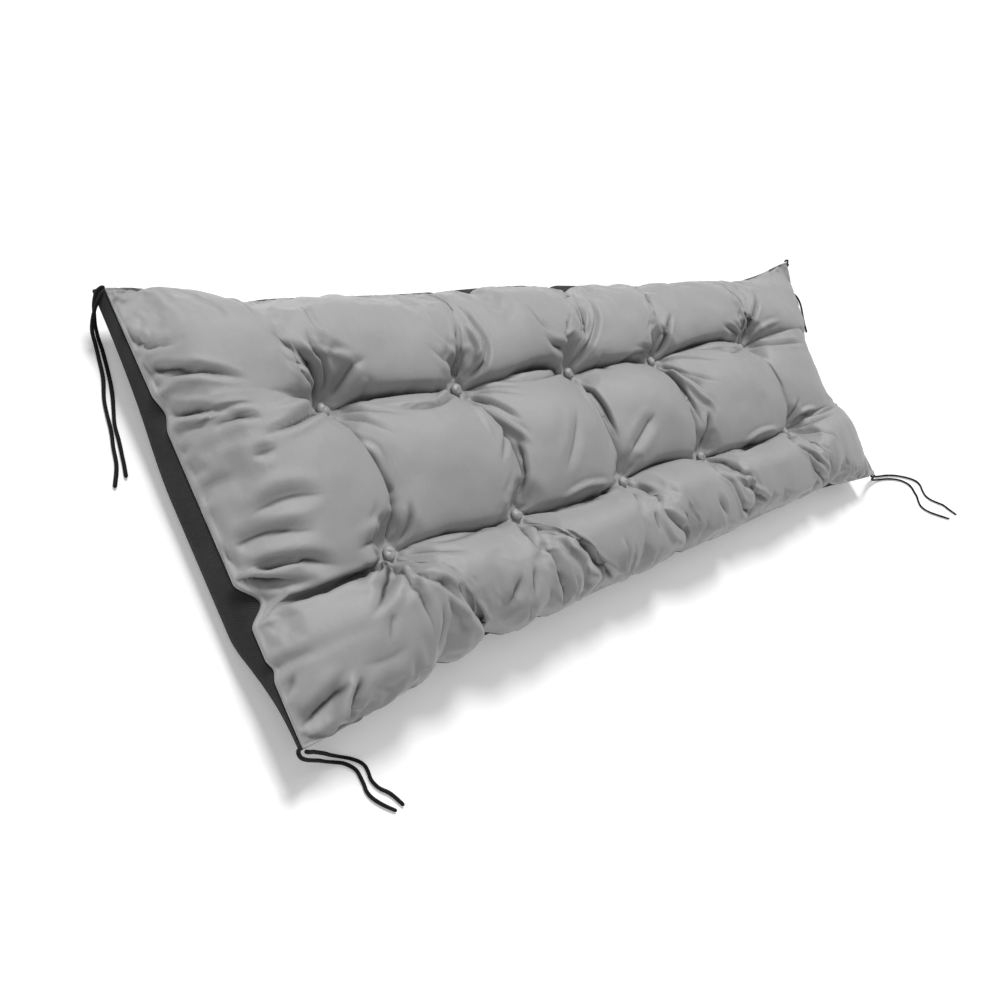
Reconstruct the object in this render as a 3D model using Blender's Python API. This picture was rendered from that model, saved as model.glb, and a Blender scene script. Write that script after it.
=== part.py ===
"""Bench cushion, lying on its back: a tufted, grey-faced cushion with a black underside,
covered buttons and doubled cord ties at its corners.

Metres, +Z up. The origin is at the middle of the cushion's footprint, on the floor. +X runs along
the cushion and +Y across it. The grey face looks up.
"""

import math

import bmesh
import bpy
from mathutils import Vector

# ---- driving dimensions -------------------------------------------------------------------------
SEAM_HEIGHT = 0.050         # the seam between face and underside, above the floor
CROWN = 0.066               # top of a full puff, above the seam
SEAT_HEIGHT = 0.012         # seat of a button, above the seam
# how far a valley arches up between two buttons, and between the last button and the seam
ROW_ARCH = {"inner": 0.012, "outer": 0.022}         # valleys along the cushion
COLUMN_ARCH = {"inner": 0.022, "outer": 0.040}      # and across it
SEAM_LIP = 0.0016           # thickness of the grey cloth's edge where it meets the black one
PANEL_THICKNESS = 0.002     # the black cloth with its backing
GAP = 0.0004                # clearance between pieces that touch
WALL_GAP = 0.0009           # and, measured level, beside the panel's sloping sides

COLUMNS = (-0.572, -0.354, -0.112, 0.116, 0.431)    # x of the buttons
ROWS = (-0.099, 0.077)                              # y of the buttons
BUTTON_RADIUS = 0.0088
BUTTON_HEIGHT = 0.0065
POCKET_RADIUS = 0.0165      # flat seat in the face under a button
POCKET_BLEND = 0.013        # the seat's rim rises to the puffs over this distance

BUTTON_FACETS = 18
# share of the button's radius and height, up its side
BUTTON_PROFILE = ((0.80, 0.00), (1.00, 0.16), (0.97, 0.42), (0.80, 0.72), (0.48, 0.94))

TIE_DIAMETER = 0.004
TIE_POINT_STEP = 0.011
CURVE_STEPS = 16            # steps between two points of a tie's route when it is smoothed

SHARP_ANGLE = 60            # degrees: sharper edges than this are shaded as edges

# ---- seam outline: corners, and how far each side is drawn in between them ------------------------
CORNERS = {
    "bottom_left": (-0.755, -0.248),
    "bottom_right": (0.746, -0.237),
    "top_right": (0.764, 0.243),
    "top_left": (-0.755, 0.248),
}
# side: draw = how far the side is pulled in; reach = share of the side over which it pulls in;
# notch = extra pull where a valley meets the seam
SIDES = {
    "left": {"draw": 0.001, "reach": 0.30, "notch": 0.006},
    "right": {"draw": 0.030, "reach": 0.30, "notch": 0.006},
    "bottom": {"draw": 0.028, "reach": 0.12, "notch": 0.008},
    "top": {"draw": 0.020, "reach": 0.10, "notch": 0.008},
}
NOTCH_HALF_WIDTH = 0.045

# how far the grey puffs swell out past the seam, on each side
FACE_OVERHANG = {"left": 0.000, "right": 0.004, "bottom": 0.012, "top": 0.003}
# how far the black side swells out past the seam
UNDER_BULGE = {"left": 0.009, "right": 0.009, "bottom": 0.002, "top": 0.014}

# the top right corner curls up off the floor
CURL_HEIGHT = 0.045
CURL_REACH = 0.30

# ---- puffs: extra height of each one, so that no two are quite alike ------------------------------
# one row of the table for each row of puffs, from the bottom seam to the top one
PUFF_HEIGHT = {
    "bottom": (0.000, 0.004, 0.002, 0.003, 0.000, -0.004),
    "middle": (-0.004, 0.000, 0.003, 0.002, 0.004, -0.008),
    "top": (-0.002, 0.003, 0.002, -0.002, 0.000, -0.002),
}
PUFF_ROWS = tuple(PUFF_HEIGHT)
CROWN_SHARE = (1.0, 0.93, 0.86)     # of CROWN, for a puff with none, one or two sides on the seam
COLUMN_STEPS = (11, 12, 13, 12, 15, 15)     # mesh divisions of the puffs along the cushion
ROW_STEPS = (9, 10, 9)                      # and across it
EVEN_SHARE = 0.35           # 1 spaces the mesh lines evenly, 0 crowds them into the valleys
SWELL_POWER = 0.95          # below 1 the puffs are fuller at their edges

# ---- underside profile, from the seam down to the flat base ---------------------------------------
# drop = share of the seam height; inset = metres inward; bulge = share of the side's bulge;
# in_x and in_z = which way the panel's inner face lies from its outer face, in thicknesses
SIDE_PROFILE = (
    {"drop": 0.00, "inset": 0.000, "bulge": 0.0, "in_x": 1.0, "in_z": 0.0},
    {"drop": 0.25, "inset": 0.000, "bulge": 0.7, "in_x": 1.0, "in_z": 0.1},
    {"drop": 0.58, "inset": 0.000, "bulge": 1.0, "in_x": 1.0, "in_z": 0.3},
    {"drop": 0.86, "inset": 0.006, "bulge": 0.6, "in_x": 0.8, "in_z": 0.7},
    {"drop": 1.00, "inset": 0.028, "bulge": 0.0, "in_x": 0.4, "in_z": 1.0},
)
CORNER_PROFILE = (
    {"drop": 0.00, "inset": 0.000, "bulge": 0.0, "in_x": 1.0, "in_z": 0.0},
    {"drop": 0.12, "inset": 0.004, "bulge": 0.0, "in_x": 0.9, "in_z": 0.5},
    {"drop": 0.30, "inset": 0.015, "bulge": 0.0, "in_x": 0.7, "in_z": 0.8},
    {"drop": 0.66, "inset": 0.048, "bulge": 0.0, "in_x": 0.5, "in_z": 1.0},
    {"drop": 1.00, "inset": 0.095, "bulge": 0.0, "in_x": 0.4, "in_z": 1.0},
)
CORNER_REACH = 0.13         # the pinched corner grows to the full side over this distance

# ---- ties: routes in millimetres, from the corner to the free end ---------------------------------
TIE_ROUTES = {
    "tie_top_left_a": (
        (-757.0, 245.4, 50), (-760.5, 241.3, 48.5), (-764, 236, 44.5), (-766.3, 230.6, 37), (-766.5, 225.2, 27),
        (-764.5, 219.3, 16), (-761, 209.4, 6.5), (-761, 197, 2.4), (-765.2, 174, 2.4), (-773.2, 151, 2.4),
        (-776.6, 135, 2.4), (-778.7, 121, 2.4), (-781, 110, 2.4), (-784.6, 97, 2.4), (-787.7, 82, 2.4),
        (-791.4, 72, 2.4), (-799.5, 56, 2.4),
    ),
    "tie_top_left_b": (
        (-752.6, 250.3, 50), (-756.6, 250.2, 48), (-760.6, 247, 43), (-762.5, 239.6, 35.5), (-761.8, 232.2, 27.5),
        (-760, 224.8, 18.5), (-757, 215.4, 9.5), (-754.6, 203, 3.6), (-758.5, 174, 2.4), (-763, 154, 2.4),
        (-768, 138.5, 2.4), (-773.6, 121, 2.4), (-776, 104, 2.4), (-779, 88, 2.4), (-781, 77.5, 2.4),
        (-784.2, 64, 2.4),
    ),
    "tie_bottom_left_a": (
        (-757.4, -245.4, 50), (-758.8, -250, 49), (-756, -254.5, 46.5), (-749, -257.9, 42), (-738, -260.8, 34),
        (-725, -263.7, 24), (-711, -267.6, 13), (-697, -272, 5), (-686, -277, 2.4), (-679, -283.5, 2.4),
        (-675, -290, 2.4), (-674, -298, 2.4), (-673.8, -306, 2.4), (-674.2, -312, 2.4), (-672, -319, 2.4),
        (-667, -326.5, 2.4), (-660, -334.5, 2.4), (-650, -344, 2.4),
    ),
    "tie_bottom_left_b": (
        (-752.4, -250.4, 50), (-747, -252.5, 48), (-739, -254, 42.5), (-729, -256.4, 34), (-716, -259.8, 23.5),
        (-702, -264.2, 12), (-688, -269.6, 4.6), (-676, -276, 2.4), (-667.5, -283, 2.4), (-663.5, -289.5, 2.4),
        (-663, -297, 2.4), (-663.6, -303, 2.4), (-662, -309, 2.4), (-658, -316, 2.4), (-650, -324, 2.4),
        (-645, -331.5, 2.4), (-639, -343, 2.4),
    ),
    "tie_bottom_right_a": (
        (744, -239.4, 50), (750, -240.4, 48), (760, -241.5, 42.5), (776, -243.3, 32), (800, -245.5, 19.5),
        (840, -248.5, 8), (880, -252.5, 3), (920, -258, 2.4), (958, -266, 2.4), (990, -276, 2.4),
        (1014, -288.5, 2.4), (1024, -300, 2.4), (1025, -312, 2.4), (1026, -323, 2.4), (1020, -334, 2.4),
        (1018, -346, 2.4), (1030, -358, 2.4), (1054, -371, 2.4), (1087, -385, 2.4), (1138, -405.5, 2.4),
    ),
    "tie_bottom_right_b": (
        (746.5, -234.6, 49.4), (756, -234.4, 47), (766, -235.2, 41), (783, -236.8, 30.5), (808, -238.8, 18.5),
        (846, -241.5, 8), (888, -245.5, 3), (930, -251, 2.4), (975, -260, 2.4), (1018, -272, 2.4),
        (1052, -284, 2.4), (1073, -296, 2.4), (1078, -307, 2.4), (1074, -319, 2.4), (1076, -332, 2.4),
        (1092, -345, 2.4), (1123, -360, 2.4), (1147, -371, 2.4), (1167, -387, 2.4), (1194, -407, 2.4),
    ),
    "tie_top_right_a": (
        (761.4, 245.3, 95.4), (768, 247.5, 97), (784, 249.5, 94), (805, 250, 82), (824, 248, 61),
        (841, 245, 37), (858, 242, 16), (880, 238, 4), (915, 232, 2.4), (948, 226, 2.4), (970, 214, 2.4),
        (972, 196, 2.4), (962, 178, 2.4), (946, 158, 2.4), (932, 138, 2.4), (921, 119, 2.4),
    ),
    "tie_top_right_b": (
        (764.5, 240.5, 94.4), (774, 241.0, 93.6), (788, 241.8, 88.5), (803, 242, 75), (819, 240, 53),
        (834, 237, 30), (850, 234, 12), (872, 230, 3), (905, 225, 2.4), (936, 218, 2.4), (956, 206, 2.4),
        (955, 193, 2.4), (942, 180, 2.4), (931, 167, 2.4), (923, 150, 2.4),
    ),
}

# ---- finishes ---------------------------------------------------------------------------------------
GREY_CLOTH = {"name": "grey_cloth", "colour": (0.36, 0.36, 0.36, 1.0), "roughness": 0.62}
BLACK_CLOTH = {"name": "black_cloth", "colour": (0.030, 0.030, 0.032, 1.0), "roughness": 0.85}
BLACK_CORD = {"name": "black_cord", "colour": (0.012, 0.012, 0.013, 1.0), "roughness": 0.9}


def smooth_step(value):
    """0 below 0, 1 above 1, with a soft start and end between."""
    t = min(max(value, 0.0), 1.0)
    return t * t * (3.0 - 2.0 * t)


def blend(first, second, share):
    """The value this share of the way from the first to the second."""
    return first + (second - first) * share


# ---- seam -------------------------------------------------------------------------------------------
def curl(x, y):
    """Height that the curled corner adds at this place."""
    corner_x, corner_y = CORNERS["top_right"]
    near = 1.0 - math.hypot(x - corner_x, y - corner_y) / CURL_REACH
    return CURL_HEIGHT * max(near, 0.0) ** 2


def notch(along, valleys):
    """1 where a valley meets the seam, falling to 0 beside it."""
    nearest = min(abs(along - valley) for valley in valleys)
    return 1.0 - smooth_step(nearest / NOTCH_HALF_WIDTH)


def drawn_in(side, share, along, valleys):
    """How far this side of the seam is pulled in, at a share of the way along it."""
    shape = SIDES[side]
    from_corner = min(share, 1.0 - share) / shape["reach"]
    return shape["draw"] * smooth_step(from_corner) + shape["notch"] * notch(along, valleys)


def seam_x(side, y):
    """x of the left or the right side of the seam at this y."""
    low = CORNERS["bottom_" + side]
    high = CORNERS["top_" + side]
    share = (y - low[1]) / (high[1] - low[1])
    inward = drawn_in(side, share, y, ROWS)
    return blend(low[0], high[0], share) + (inward if side == "left" else -inward)


def seam_y(side, x):
    """y of the bottom or the top side of the seam at this x."""
    low = CORNERS[side + "_left"]
    high = CORNERS[side + "_right"]
    share = (x - low[0]) / (high[0] - low[0])
    inward = drawn_in(side, share, x, COLUMNS)
    return blend(low[1], high[1], share) + (inward if side == "bottom" else -inward)


# ---- face -------------------------------------------------------------------------------------------
def spread(step, steps):
    """Share of a puff's width at a mesh line, and how swollen the puff is there."""
    angle = math.pi * step / steps
    share = blend(0.5 * (1.0 - math.cos(angle)), step / steps, EVEN_SHARE)
    return share, max(math.sin(angle), 0.0) ** SWELL_POWER


def mesh_lines(steps_of_puffs):
    """(puff, how far through its steps, share of its width, swell) for each mesh line, in order."""
    lines = []
    for puff, steps in enumerate(steps_of_puffs):
        first = 0 if puff == 0 else 1
        for step in range(first, steps + 1):
            share, swell = spread(step, steps)
            lines.append((puff, step / steps, share, swell))
    return lines


def knot_height(column_line, row_line):
    """Height at a crossing of the valley lines: a button's seat inside, the seam at the rim."""
    inside = 0 < column_line < len(COLUMN_STEPS) and 0 < row_line < len(ROW_STEPS)
    return SEAT_HEIGHT if inside else 0.0


def valley_swell(arch, line, last_line, span, last_span):
    """How far a stretch of valley arches up: nothing on the seam, more where it runs out to the seam."""
    if line in (0, last_line):
        return 0.0
    return arch["outer"] if span in (0, last_span) else arch["inner"]


def puff_height(puff_x, puff_y, share_x, share_y, swell_x, swell_y):
    """Height above the seam inside one puff: its four edges blended, and its crown on top."""
    last_x = len(COLUMN_STEPS)
    last_y = len(ROW_STEPS)
    south = blend(knot_height(puff_x, puff_y), knot_height(puff_x + 1, puff_y), share_x)
    north = blend(knot_height(puff_x, puff_y + 1), knot_height(puff_x + 1, puff_y + 1), share_x)
    ground = blend(south, north, share_y)
    along_south = valley_swell(ROW_ARCH, puff_y, last_y, puff_x, last_x - 1)
    along_north = valley_swell(ROW_ARCH, puff_y + 1, last_y, puff_x, last_x - 1)
    along_west = valley_swell(COLUMN_ARCH, puff_x, last_x, puff_y, last_y - 1)
    along_east = valley_swell(COLUMN_ARCH, puff_x + 1, last_x, puff_y, last_y - 1)
    edges = blend(along_south, along_north, share_y) * swell_x
    edges += blend(along_west, along_east, share_x) * swell_y
    full_edges = 0.5 * (along_south + along_north + along_west + along_east)
    corner_ground = 0.25 * sum(
        knot_height(puff_x + i, puff_y + j) for i in (0, 1) for j in (0, 1)
    )
    sides_on_seam = (puff_x in (0, last_x - 1)) + (puff_y in (0, last_y - 1))
    crown = CROWN * CROWN_SHARE[sides_on_seam] + PUFF_HEIGHT[PUFF_ROWS[puff_y]][puff_x]
    return ground + edges + (crown - corner_ground - full_edges) * swell_x * swell_y


def pocket(x, y, height):
    """The height with a flat seat pressed into it under the nearest button."""
    nearest = min(math.hypot(x - column, y - row) for column in COLUMNS for row in ROWS)
    share = smooth_step((nearest - POCKET_RADIUS) / POCKET_BLEND)
    return blend(SEAT_HEIGHT, height, share)


def overhang(side, across_steps):
    """How far a puff swells out past the seam, a little way up from it."""
    if across_steps >= 0.5:
        return 0.0
    return FACE_OVERHANG[side] * math.sin(2.0 * math.pi * across_steps)


def face_point(column_line, row_line):
    """The point of the face where two mesh lines cross."""
    puff_x, step_x, share_x, swell_x = column_line
    puff_y, step_y, share_y, swell_y = row_line
    last_x = len(COLUMN_STEPS) - 1
    last_y = len(ROW_STEPS) - 1
    # Plan position: the seam's own place at the rim, straight valley lines inside.
    x = 0.0
    y = 0.0
    for _ in range(3):      # the two sides depend on each other a little
        low_x = seam_x("left", y) if puff_x == 0 else COLUMNS[puff_x - 1]
        high_x = seam_x("right", y) if puff_x == last_x else COLUMNS[puff_x]
        x = blend(low_x, high_x, share_x)
        low_y = seam_y("bottom", x) if puff_y == 0 else ROWS[puff_y - 1]
        high_y = seam_y("top", x) if puff_y == last_y else ROWS[puff_y]
        y = blend(low_y, high_y, share_y)
    height = puff_height(puff_x, puff_y, share_x, share_y, swell_x, swell_y)
    height = pocket(x, y, height)
    if puff_x == 0:
        x -= overhang("left", step_x) * swell_y
    if puff_x == last_x:
        x += overhang("right", 1.0 - step_x) * swell_y
    if puff_y == 0:
        y -= overhang("bottom", step_y) * swell_x
    if puff_y == last_y:
        y += overhang("top", 1.0 - step_y) * swell_x
    return Vector((x, y, SEAM_HEIGHT + SEAM_LIP + height + curl(x, y)))


def face_grid():
    """Rows of face points, and the rim's grid places in order, anticlockwise from above."""
    columns = mesh_lines(COLUMN_STEPS)
    rows = mesh_lines(ROW_STEPS)
    grid = [[face_point(column, row) for column in columns] for row in rows]
    last_i = len(columns) - 1
    last_j = len(rows) - 1
    rim = [(i, 0) for i in range(last_i)]
    rim += [(last_i, j) for j in range(last_j)]
    rim += [(i, last_j) for i in range(last_i, 0, -1)]
    rim += [(0, j) for j in range(last_j, 0, -1)]
    return grid, rim


# ---- underside --------------------------------------------------------------------------------------
def side_of(place, last_i, last_j):
    """Which side of the seam a rim place is on."""
    i, j = place
    if j == 0:
        return "bottom"
    if j == last_j:
        return "top"
    return "left" if i == 0 else "right"


def under_ring(ring, seam_points, sides, inward, upward):
    """One ring of the underside's profile: its outer face, or an inner face this far in and up."""
    half_length = 0.5 * (CORNERS["bottom_right"][0] - CORNERS["bottom_left"][0])
    half_width = 0.5 * (CORNERS["top_left"][1] - CORNERS["bottom_left"][1])
    points = []
    for seam, side in zip(seam_points, sides):
        from_corner = min(math.hypot(seam.x - cx, seam.y - cy) for cx, cy in CORNERS.values())
        full = smooth_step(from_corner / CORNER_REACH)
        pinched = CORNER_PROFILE[ring]
        plain = SIDE_PROFILE[ring]
        mixed = {key: blend(pinched[key], plain[key], full) for key in plain}
        inset = mixed["inset"] - mixed["bulge"] * UNDER_BULGE[side] * full
        inset += inward * mixed["in_x"]
        x = seam.x * (1.0 - inset / half_length)
        y = seam.y * (1.0 - inset / half_width)
        height = seam.z * (1.0 - mixed["drop"]) + upward * mixed["in_z"]
        points.append(Vector((x, y, height)))
    return points


def bridge(bm, lower, upper):
    """Triangles between two closed rings, split the same way round so that nested walls stay apart."""
    count = len(lower)
    for k in range(count):
        n = (k + 1) % count
        bm.faces.new((lower[k], lower[n], upper[n]))
        bm.faces.new((lower[k], upper[n], upper[k]))


def new_object(name, bm, finish):
    """The bmesh as a smooth-shaded object, with its faces pointing out."""
    bmesh.ops.recalc_face_normals(bm, faces=bm.faces)
    if bm.calc_volume(signed=True) < 0.0:
        bmesh.ops.reverse_faces(bm, faces=bm.faces)
    mesh = bpy.data.meshes.new(name)
    bm.to_mesh(mesh)
    bm.free()
    mesh.shade_smooth()
    mesh.set_sharp_from_angle(angle=math.radians(SHARP_ANGLE))
    obj = bpy.data.objects.new(name, mesh)
    bpy.context.scene.collection.objects.link(obj)
    obj.data.materials.append(finish)
    return obj


def make_filled_face(grid, rim, sides, finish):
    """The grey face with the filling under it, down to the inner face of the underside panel."""
    bm = bmesh.new()
    verts = [[bm.verts.new(point) for point in row] for row in grid]
    for lower, upper in zip(verts, verts[1:]):
        for i in range(len(lower) - 1):
            bm.faces.new((lower[i], lower[i + 1], upper[i + 1], upper[i]))
    seam_points = [grid[j][i] - Vector((0.0, 0.0, SEAM_LIP)) for i, j in rim]
    upper_ring = [bm.verts.new(point) for point in seam_points]
    bridge(bm, upper_ring, [verts[j][i] for i, j in rim])
    for ring in range(len(SIDE_PROFILE)):
        points = under_ring(
            ring, seam_points, sides, PANEL_THICKNESS + WALL_GAP, PANEL_THICKNESS + GAP
        )
        lower_ring = [bm.verts.new(point) for point in points]
        bridge(bm, lower_ring, upper_ring)
        upper_ring = lower_ring
    bm.faces.new(reversed(upper_ring))
    return new_object("filled_face", bm, finish)


def make_underside_panel(grid, rim, sides, finish):
    """The black panel: from just under the seam, round the lower sides and flat along the floor."""
    bm = bmesh.new()
    seam_points = [grid[j][i] - Vector((0.0, 0.0, SEAM_LIP + GAP)) for i, j in rim]
    rings = []
    for thickness in (0.0, PANEL_THICKNESS):
        rings.append([
            [bm.verts.new(p) for p in under_ring(ring, seam_points, sides, thickness, thickness)]
            for ring in range(len(SIDE_PROFILE))
        ])
    outer, inner = rings
    for faces in (outer, inner):
        for upper, lower in zip(faces, faces[1:]):
            bridge(bm, lower, upper)
        bm.faces.new(faces[-1])
    bridge(bm, outer[0], inner[0])
    return new_object("underside_panel", bm, finish)


# ---- buttons ----------------------------------------------------------------------------------------
def make_button(name, x, y, finish):
    """A covered button: a low dome with a rounded edge, seated in its pocket."""
    turns = [2.0 * math.pi * k / BUTTON_FACETS for k in range(BUTTON_FACETS)]
    bm = bmesh.new()
    rings = []
    for radius, height in BUTTON_PROFILE:
        rings.append([
            bm.verts.new((
                BUTTON_RADIUS * radius * math.cos(turn),
                BUTTON_RADIUS * radius * math.sin(turn),
                BUTTON_HEIGHT * height,
            ))
            for turn in turns
        ])
    for lower, upper in zip(rings, rings[1:]):
        bridge(bm, lower, upper)
    bm.faces.new(reversed(rings[0]))
    top = bm.verts.new((0.0, 0.0, BUTTON_HEIGHT))
    for k in range(BUTTON_FACETS):
        bm.faces.new((rings[-1][k], rings[-1][(k + 1) % BUTTON_FACETS], top))
    button = new_object(name, bm, finish)
    button.location = (x, y, SEAM_HEIGHT + SEAM_LIP + SEAT_HEIGHT + curl(x, y) + GAP)
    return button


# ---- ties -------------------------------------------------------------------------------------------
def smooth_route(route):
    """Points a fixed step apart on a smooth curve through the route's own points."""
    knots = [Vector(point) * 0.001 for point in route]
    ends = [2.0 * knots[0] - knots[1]] + knots + [2.0 * knots[-1] - knots[-2]]
    fine = [knots[0]]
    for p0, p1, p2, p3 in zip(ends, ends[1:], ends[2:], ends[3:]):
        for k in range(1, CURVE_STEPS + 1):
            t = k / CURVE_STEPS
            fine.append(0.5 * (
                2.0 * p1 + (p2 - p0) * t + (2.0 * p0 - 5.0 * p1 + 4.0 * p2 - p3) * t * t
                + (3.0 * p1 - p0 - 3.0 * p2 + p3) * t * t * t
            ))
    lengths = [0.0]
    for first, second in zip(fine, fine[1:]):
        lengths.append(lengths[-1] + (second - first).length)
    count = max(round(lengths[-1] / TIE_POINT_STEP), 8)
    points = []
    k = 0
    for n in range(count + 1):
        wanted = lengths[-1] * n / count
        while k < len(lengths) - 2 and lengths[k + 1] < wanted:
            k += 1
        share = (wanted - lengths[k]) / max(lengths[k + 1] - lengths[k], 1e-9)
        points.append(fine[k].lerp(fine[k + 1], min(share, 1.0)))
    return points


def make_tie(name, route, finish):
    """One free strand of cord."""
    points = smooth_route(route)
    curve = bpy.data.curves.new(name, "CURVE")
    curve.dimensions = "3D"
    curve.bevel_depth = 0.5 * TIE_DIAMETER
    curve.bevel_resolution = 2
    curve.use_fill_caps = True
    spline = curve.splines.new("POLY")
    spline.points.add(len(points) - 1)
    for point, place in zip(spline.points, points):
        point.co = (place.x, place.y, place.z, 1.0)
    obj = bpy.data.objects.new(name, curve)
    bpy.context.scene.collection.objects.link(obj)
    curve.materials.append(finish)
    return obj


def make_finish(name, colour, roughness):
    material = bpy.data.materials.new(name)
    material.use_nodes = True
    shader = material.node_tree.nodes["Principled BSDF"]
    shader.inputs["Base Color"].default_value = colour
    shader.inputs["Roughness"].default_value = roughness
    shader.inputs["Metallic"].default_value = 0.0
    return material


def main():
    for old in list(bpy.data.objects):
        bpy.data.objects.remove(old, do_unlink=True)
    grey = make_finish(**GREY_CLOTH)
    black = make_finish(**BLACK_CLOTH)
    cord = make_finish(**BLACK_CORD)
    grid, rim = face_grid()
    sides = [side_of(place, len(grid[0]) - 1, len(grid) - 1) for place in rim]
    make_filled_face(grid, rim, sides, grey)
    make_underside_panel(grid, rim, sides, black)
    for row_name, y in zip(("bottom", "top"), ROWS):
        for number, x in enumerate(COLUMNS, start=1):
            make_button(f"button_{row_name}_{number}", x, y, grey)
    for name, route in TIE_ROUTES.items():
        make_tie(name, route, cord)


main()
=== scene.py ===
"""Looks of the bench cushion: a tufted grey face over a black underside, covered buttons and
doubled black cord ties at its corners, lying on its back on a pale floor."""

import math

import bmesh
import bpy
import numpy as np
from mathutils import Matrix, Vector


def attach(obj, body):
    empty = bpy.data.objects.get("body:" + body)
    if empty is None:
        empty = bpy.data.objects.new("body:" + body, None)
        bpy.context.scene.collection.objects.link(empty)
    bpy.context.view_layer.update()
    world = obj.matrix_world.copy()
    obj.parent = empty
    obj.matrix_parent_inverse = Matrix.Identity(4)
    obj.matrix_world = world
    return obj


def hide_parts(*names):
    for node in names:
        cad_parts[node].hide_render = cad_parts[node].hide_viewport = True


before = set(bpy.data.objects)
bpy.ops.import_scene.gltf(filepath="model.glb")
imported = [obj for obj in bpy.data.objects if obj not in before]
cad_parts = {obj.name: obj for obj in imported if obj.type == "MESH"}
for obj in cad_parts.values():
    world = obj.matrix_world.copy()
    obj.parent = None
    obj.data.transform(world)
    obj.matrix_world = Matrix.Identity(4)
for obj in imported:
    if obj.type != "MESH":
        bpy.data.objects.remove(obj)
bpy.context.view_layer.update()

MM = 0.001                  # routes and bends are typed in millimetres, everything else in metres
TURN = 2.0 * math.pi

# ---- sizes shared with the part's source ----
SEAM_HEIGHT = 0.050
CROWN = 0.066
SEAT_HEIGHT = 0.012         # of a button, above the seam
SEAM_LIP = 0.0016
PANEL_THICKNESS = 0.002
GAP = 0.0004
WALL_GAP = 0.0009
COLUMNS = (-0.572, -0.354, -0.112, 0.116, 0.431)
ROWS = (-0.099, 0.077)
BUTTON_RADIUS = 0.0088
BUTTON_HEIGHT = 0.0065
TIE_DIAMETER = 0.004

CORNERS = {
    "bottom_left": (-0.755, -0.248),
    "bottom_right": (0.746, -0.237),
    "top_right": (0.764, 0.243),
    "top_left": (-0.755, 0.248),
}
# how far each side of the seam is drawn in, and over what share of its length that grows
SIDES = {
    "left": {"draw": 0.001, "reach": 0.30},
    "right": {"draw": 0.030, "reach": 0.30},
    "bottom": {"draw": 0.019, "reach": 0.20},
    "top": {"draw": 0.020, "reach": 0.10},
}
# how far the grey face and the black cloth stand out past the seam
FACE_OVERHANG = {"left": 0.000, "right": 0.004, "bottom": 0.018, "top": 0.010}
UNDER_BULGE = {"left": 0.004, "right": 0.009, "bottom": -0.010, "top": 0.015}
TOP_SWELL = (-0.060, 0.330, 0.012)      # the black cloth behind the top edge: place, half width, how far
CURL_HEIGHT = 0.045         # of the top right corner
CURL_REACH = 0.30

# ---- puffs: from left to right, in the bottom row, the middle row and the top row ----
PUFF_HEIGHT = np.array((
    (0.000, 0.004, 0.002, 0.003, 0.000, -0.004),
    (-0.004, 0.000, 0.003, 0.002, 0.004, -0.008),
    (-0.010, -0.005, -0.004, -0.005, -0.004, -0.006),
))
CROWN_SHARE = np.array((1.0, 0.93, 0.86))   # inside, along one side of the seam, at a corner
# the power is how steep a puff's flank is: under 1 it is full and drops late, above 1 it falls gently
RIM_POWER = 0.85            # towards the left seam
LEFT_POWER = 0.85
RIGHT_POWERS = np.array((   # some of the right flanks hang over and some fall gently
    (0.80, 0.80, 0.85, 0.85, 0.80, 0.85),
    (0.66, 0.60, 1.90, 1.60, 1.25, 0.85),
    (0.75, 0.75, 0.80, 0.80, 0.80, 0.85),
))
LOW_POWERS = np.array((     # the filling has sunk down to the bottom side
    (0.85, 0.95, 0.95, 0.95, 0.95, 0.85),
    (0.66, 0.66, 0.75, 0.85, 0.85, 0.85),
    (0.60, 0.58, 0.58, 0.58, 0.66, 0.90),
))
HIGH_POWERS = np.array((
    (1.45, 1.45, 1.45, 1.45, 1.45, 1.45),
    (1.45, 1.45, 1.45, 1.45, 1.45, 1.45),
    (1.50, 1.05, 0.90, 0.85, 0.90, 1.00),
))
RUN_ON = 1.5                # how much more gently the top left puff falls to the one below it

# ---- valleys between the puffs ----
# how far each arches over its buttons: along the cushion, in the lower row and the upper one
ROW_ARCH = np.array((
    (0.024, 0.014, 0.014, 0.018, 0.024, 0.040),
    (0.048, 0.020, 0.020, 0.021, 0.027, 0.048),
))
# and across it: below the lower buttons, between the two rows, above the upper ones
COLUMN_ARCH = np.array((
    (0.056, 0.057, 0.058, 0.058, 0.057),
    (0.022, 0.022, 0.018, 0.025, 0.036),
    (0.050, 0.038, 0.043, 0.040, 0.042),
))
# how each bends aside between its buttons: bow, and skew from its first half to its second
ROW_BENDS = (
    ((-10, 0), (-3, 3), (-9, -1), (8, 2), (-8, -1), (11, 2)),
    ((-2, 3), (-3, 2), (4, -4), (-3, 0), (9, -2), (4, 0)),
)
COLUMN_BENDS = (
    ((4, 4), (10, 4), (-30, -4)),
    ((4, 8), (12, 4), (8, 0)),
    ((-12, 8), (-3, 0), (4, 0)),
    ((-14, 6), (-5, -3), (-8, 0)),
    ((-14, 6), (-3, 0), (-6, 0)),
)
# and where its two ends meet the seam, off the buttons' line
ROW_ENDS = ((-14, 14), (24, 2))
COLUMN_ENDS = ((76, -68), (86, 28), (88, 96), (62, 80), (48, 36))
# how strong the sharp crease along the bottom of each valley along the cushion is
ROW_CREASES = ((0.7, 1.0, 1.0, 1.0, 1.0, 0.0), (0.0, 1.0, 1.0, 1.0, 1.0, 0.0))
VALLEY_CREASE = 0.014       # its depth
CREASE_WIDTH = 0.0042
DIMPLE_START = 0.0105       # each button's dimple opens out from here
DIMPLE_BLEND = 0.034        # over this distance
DIMPLE_POWER = 0.8

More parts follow.
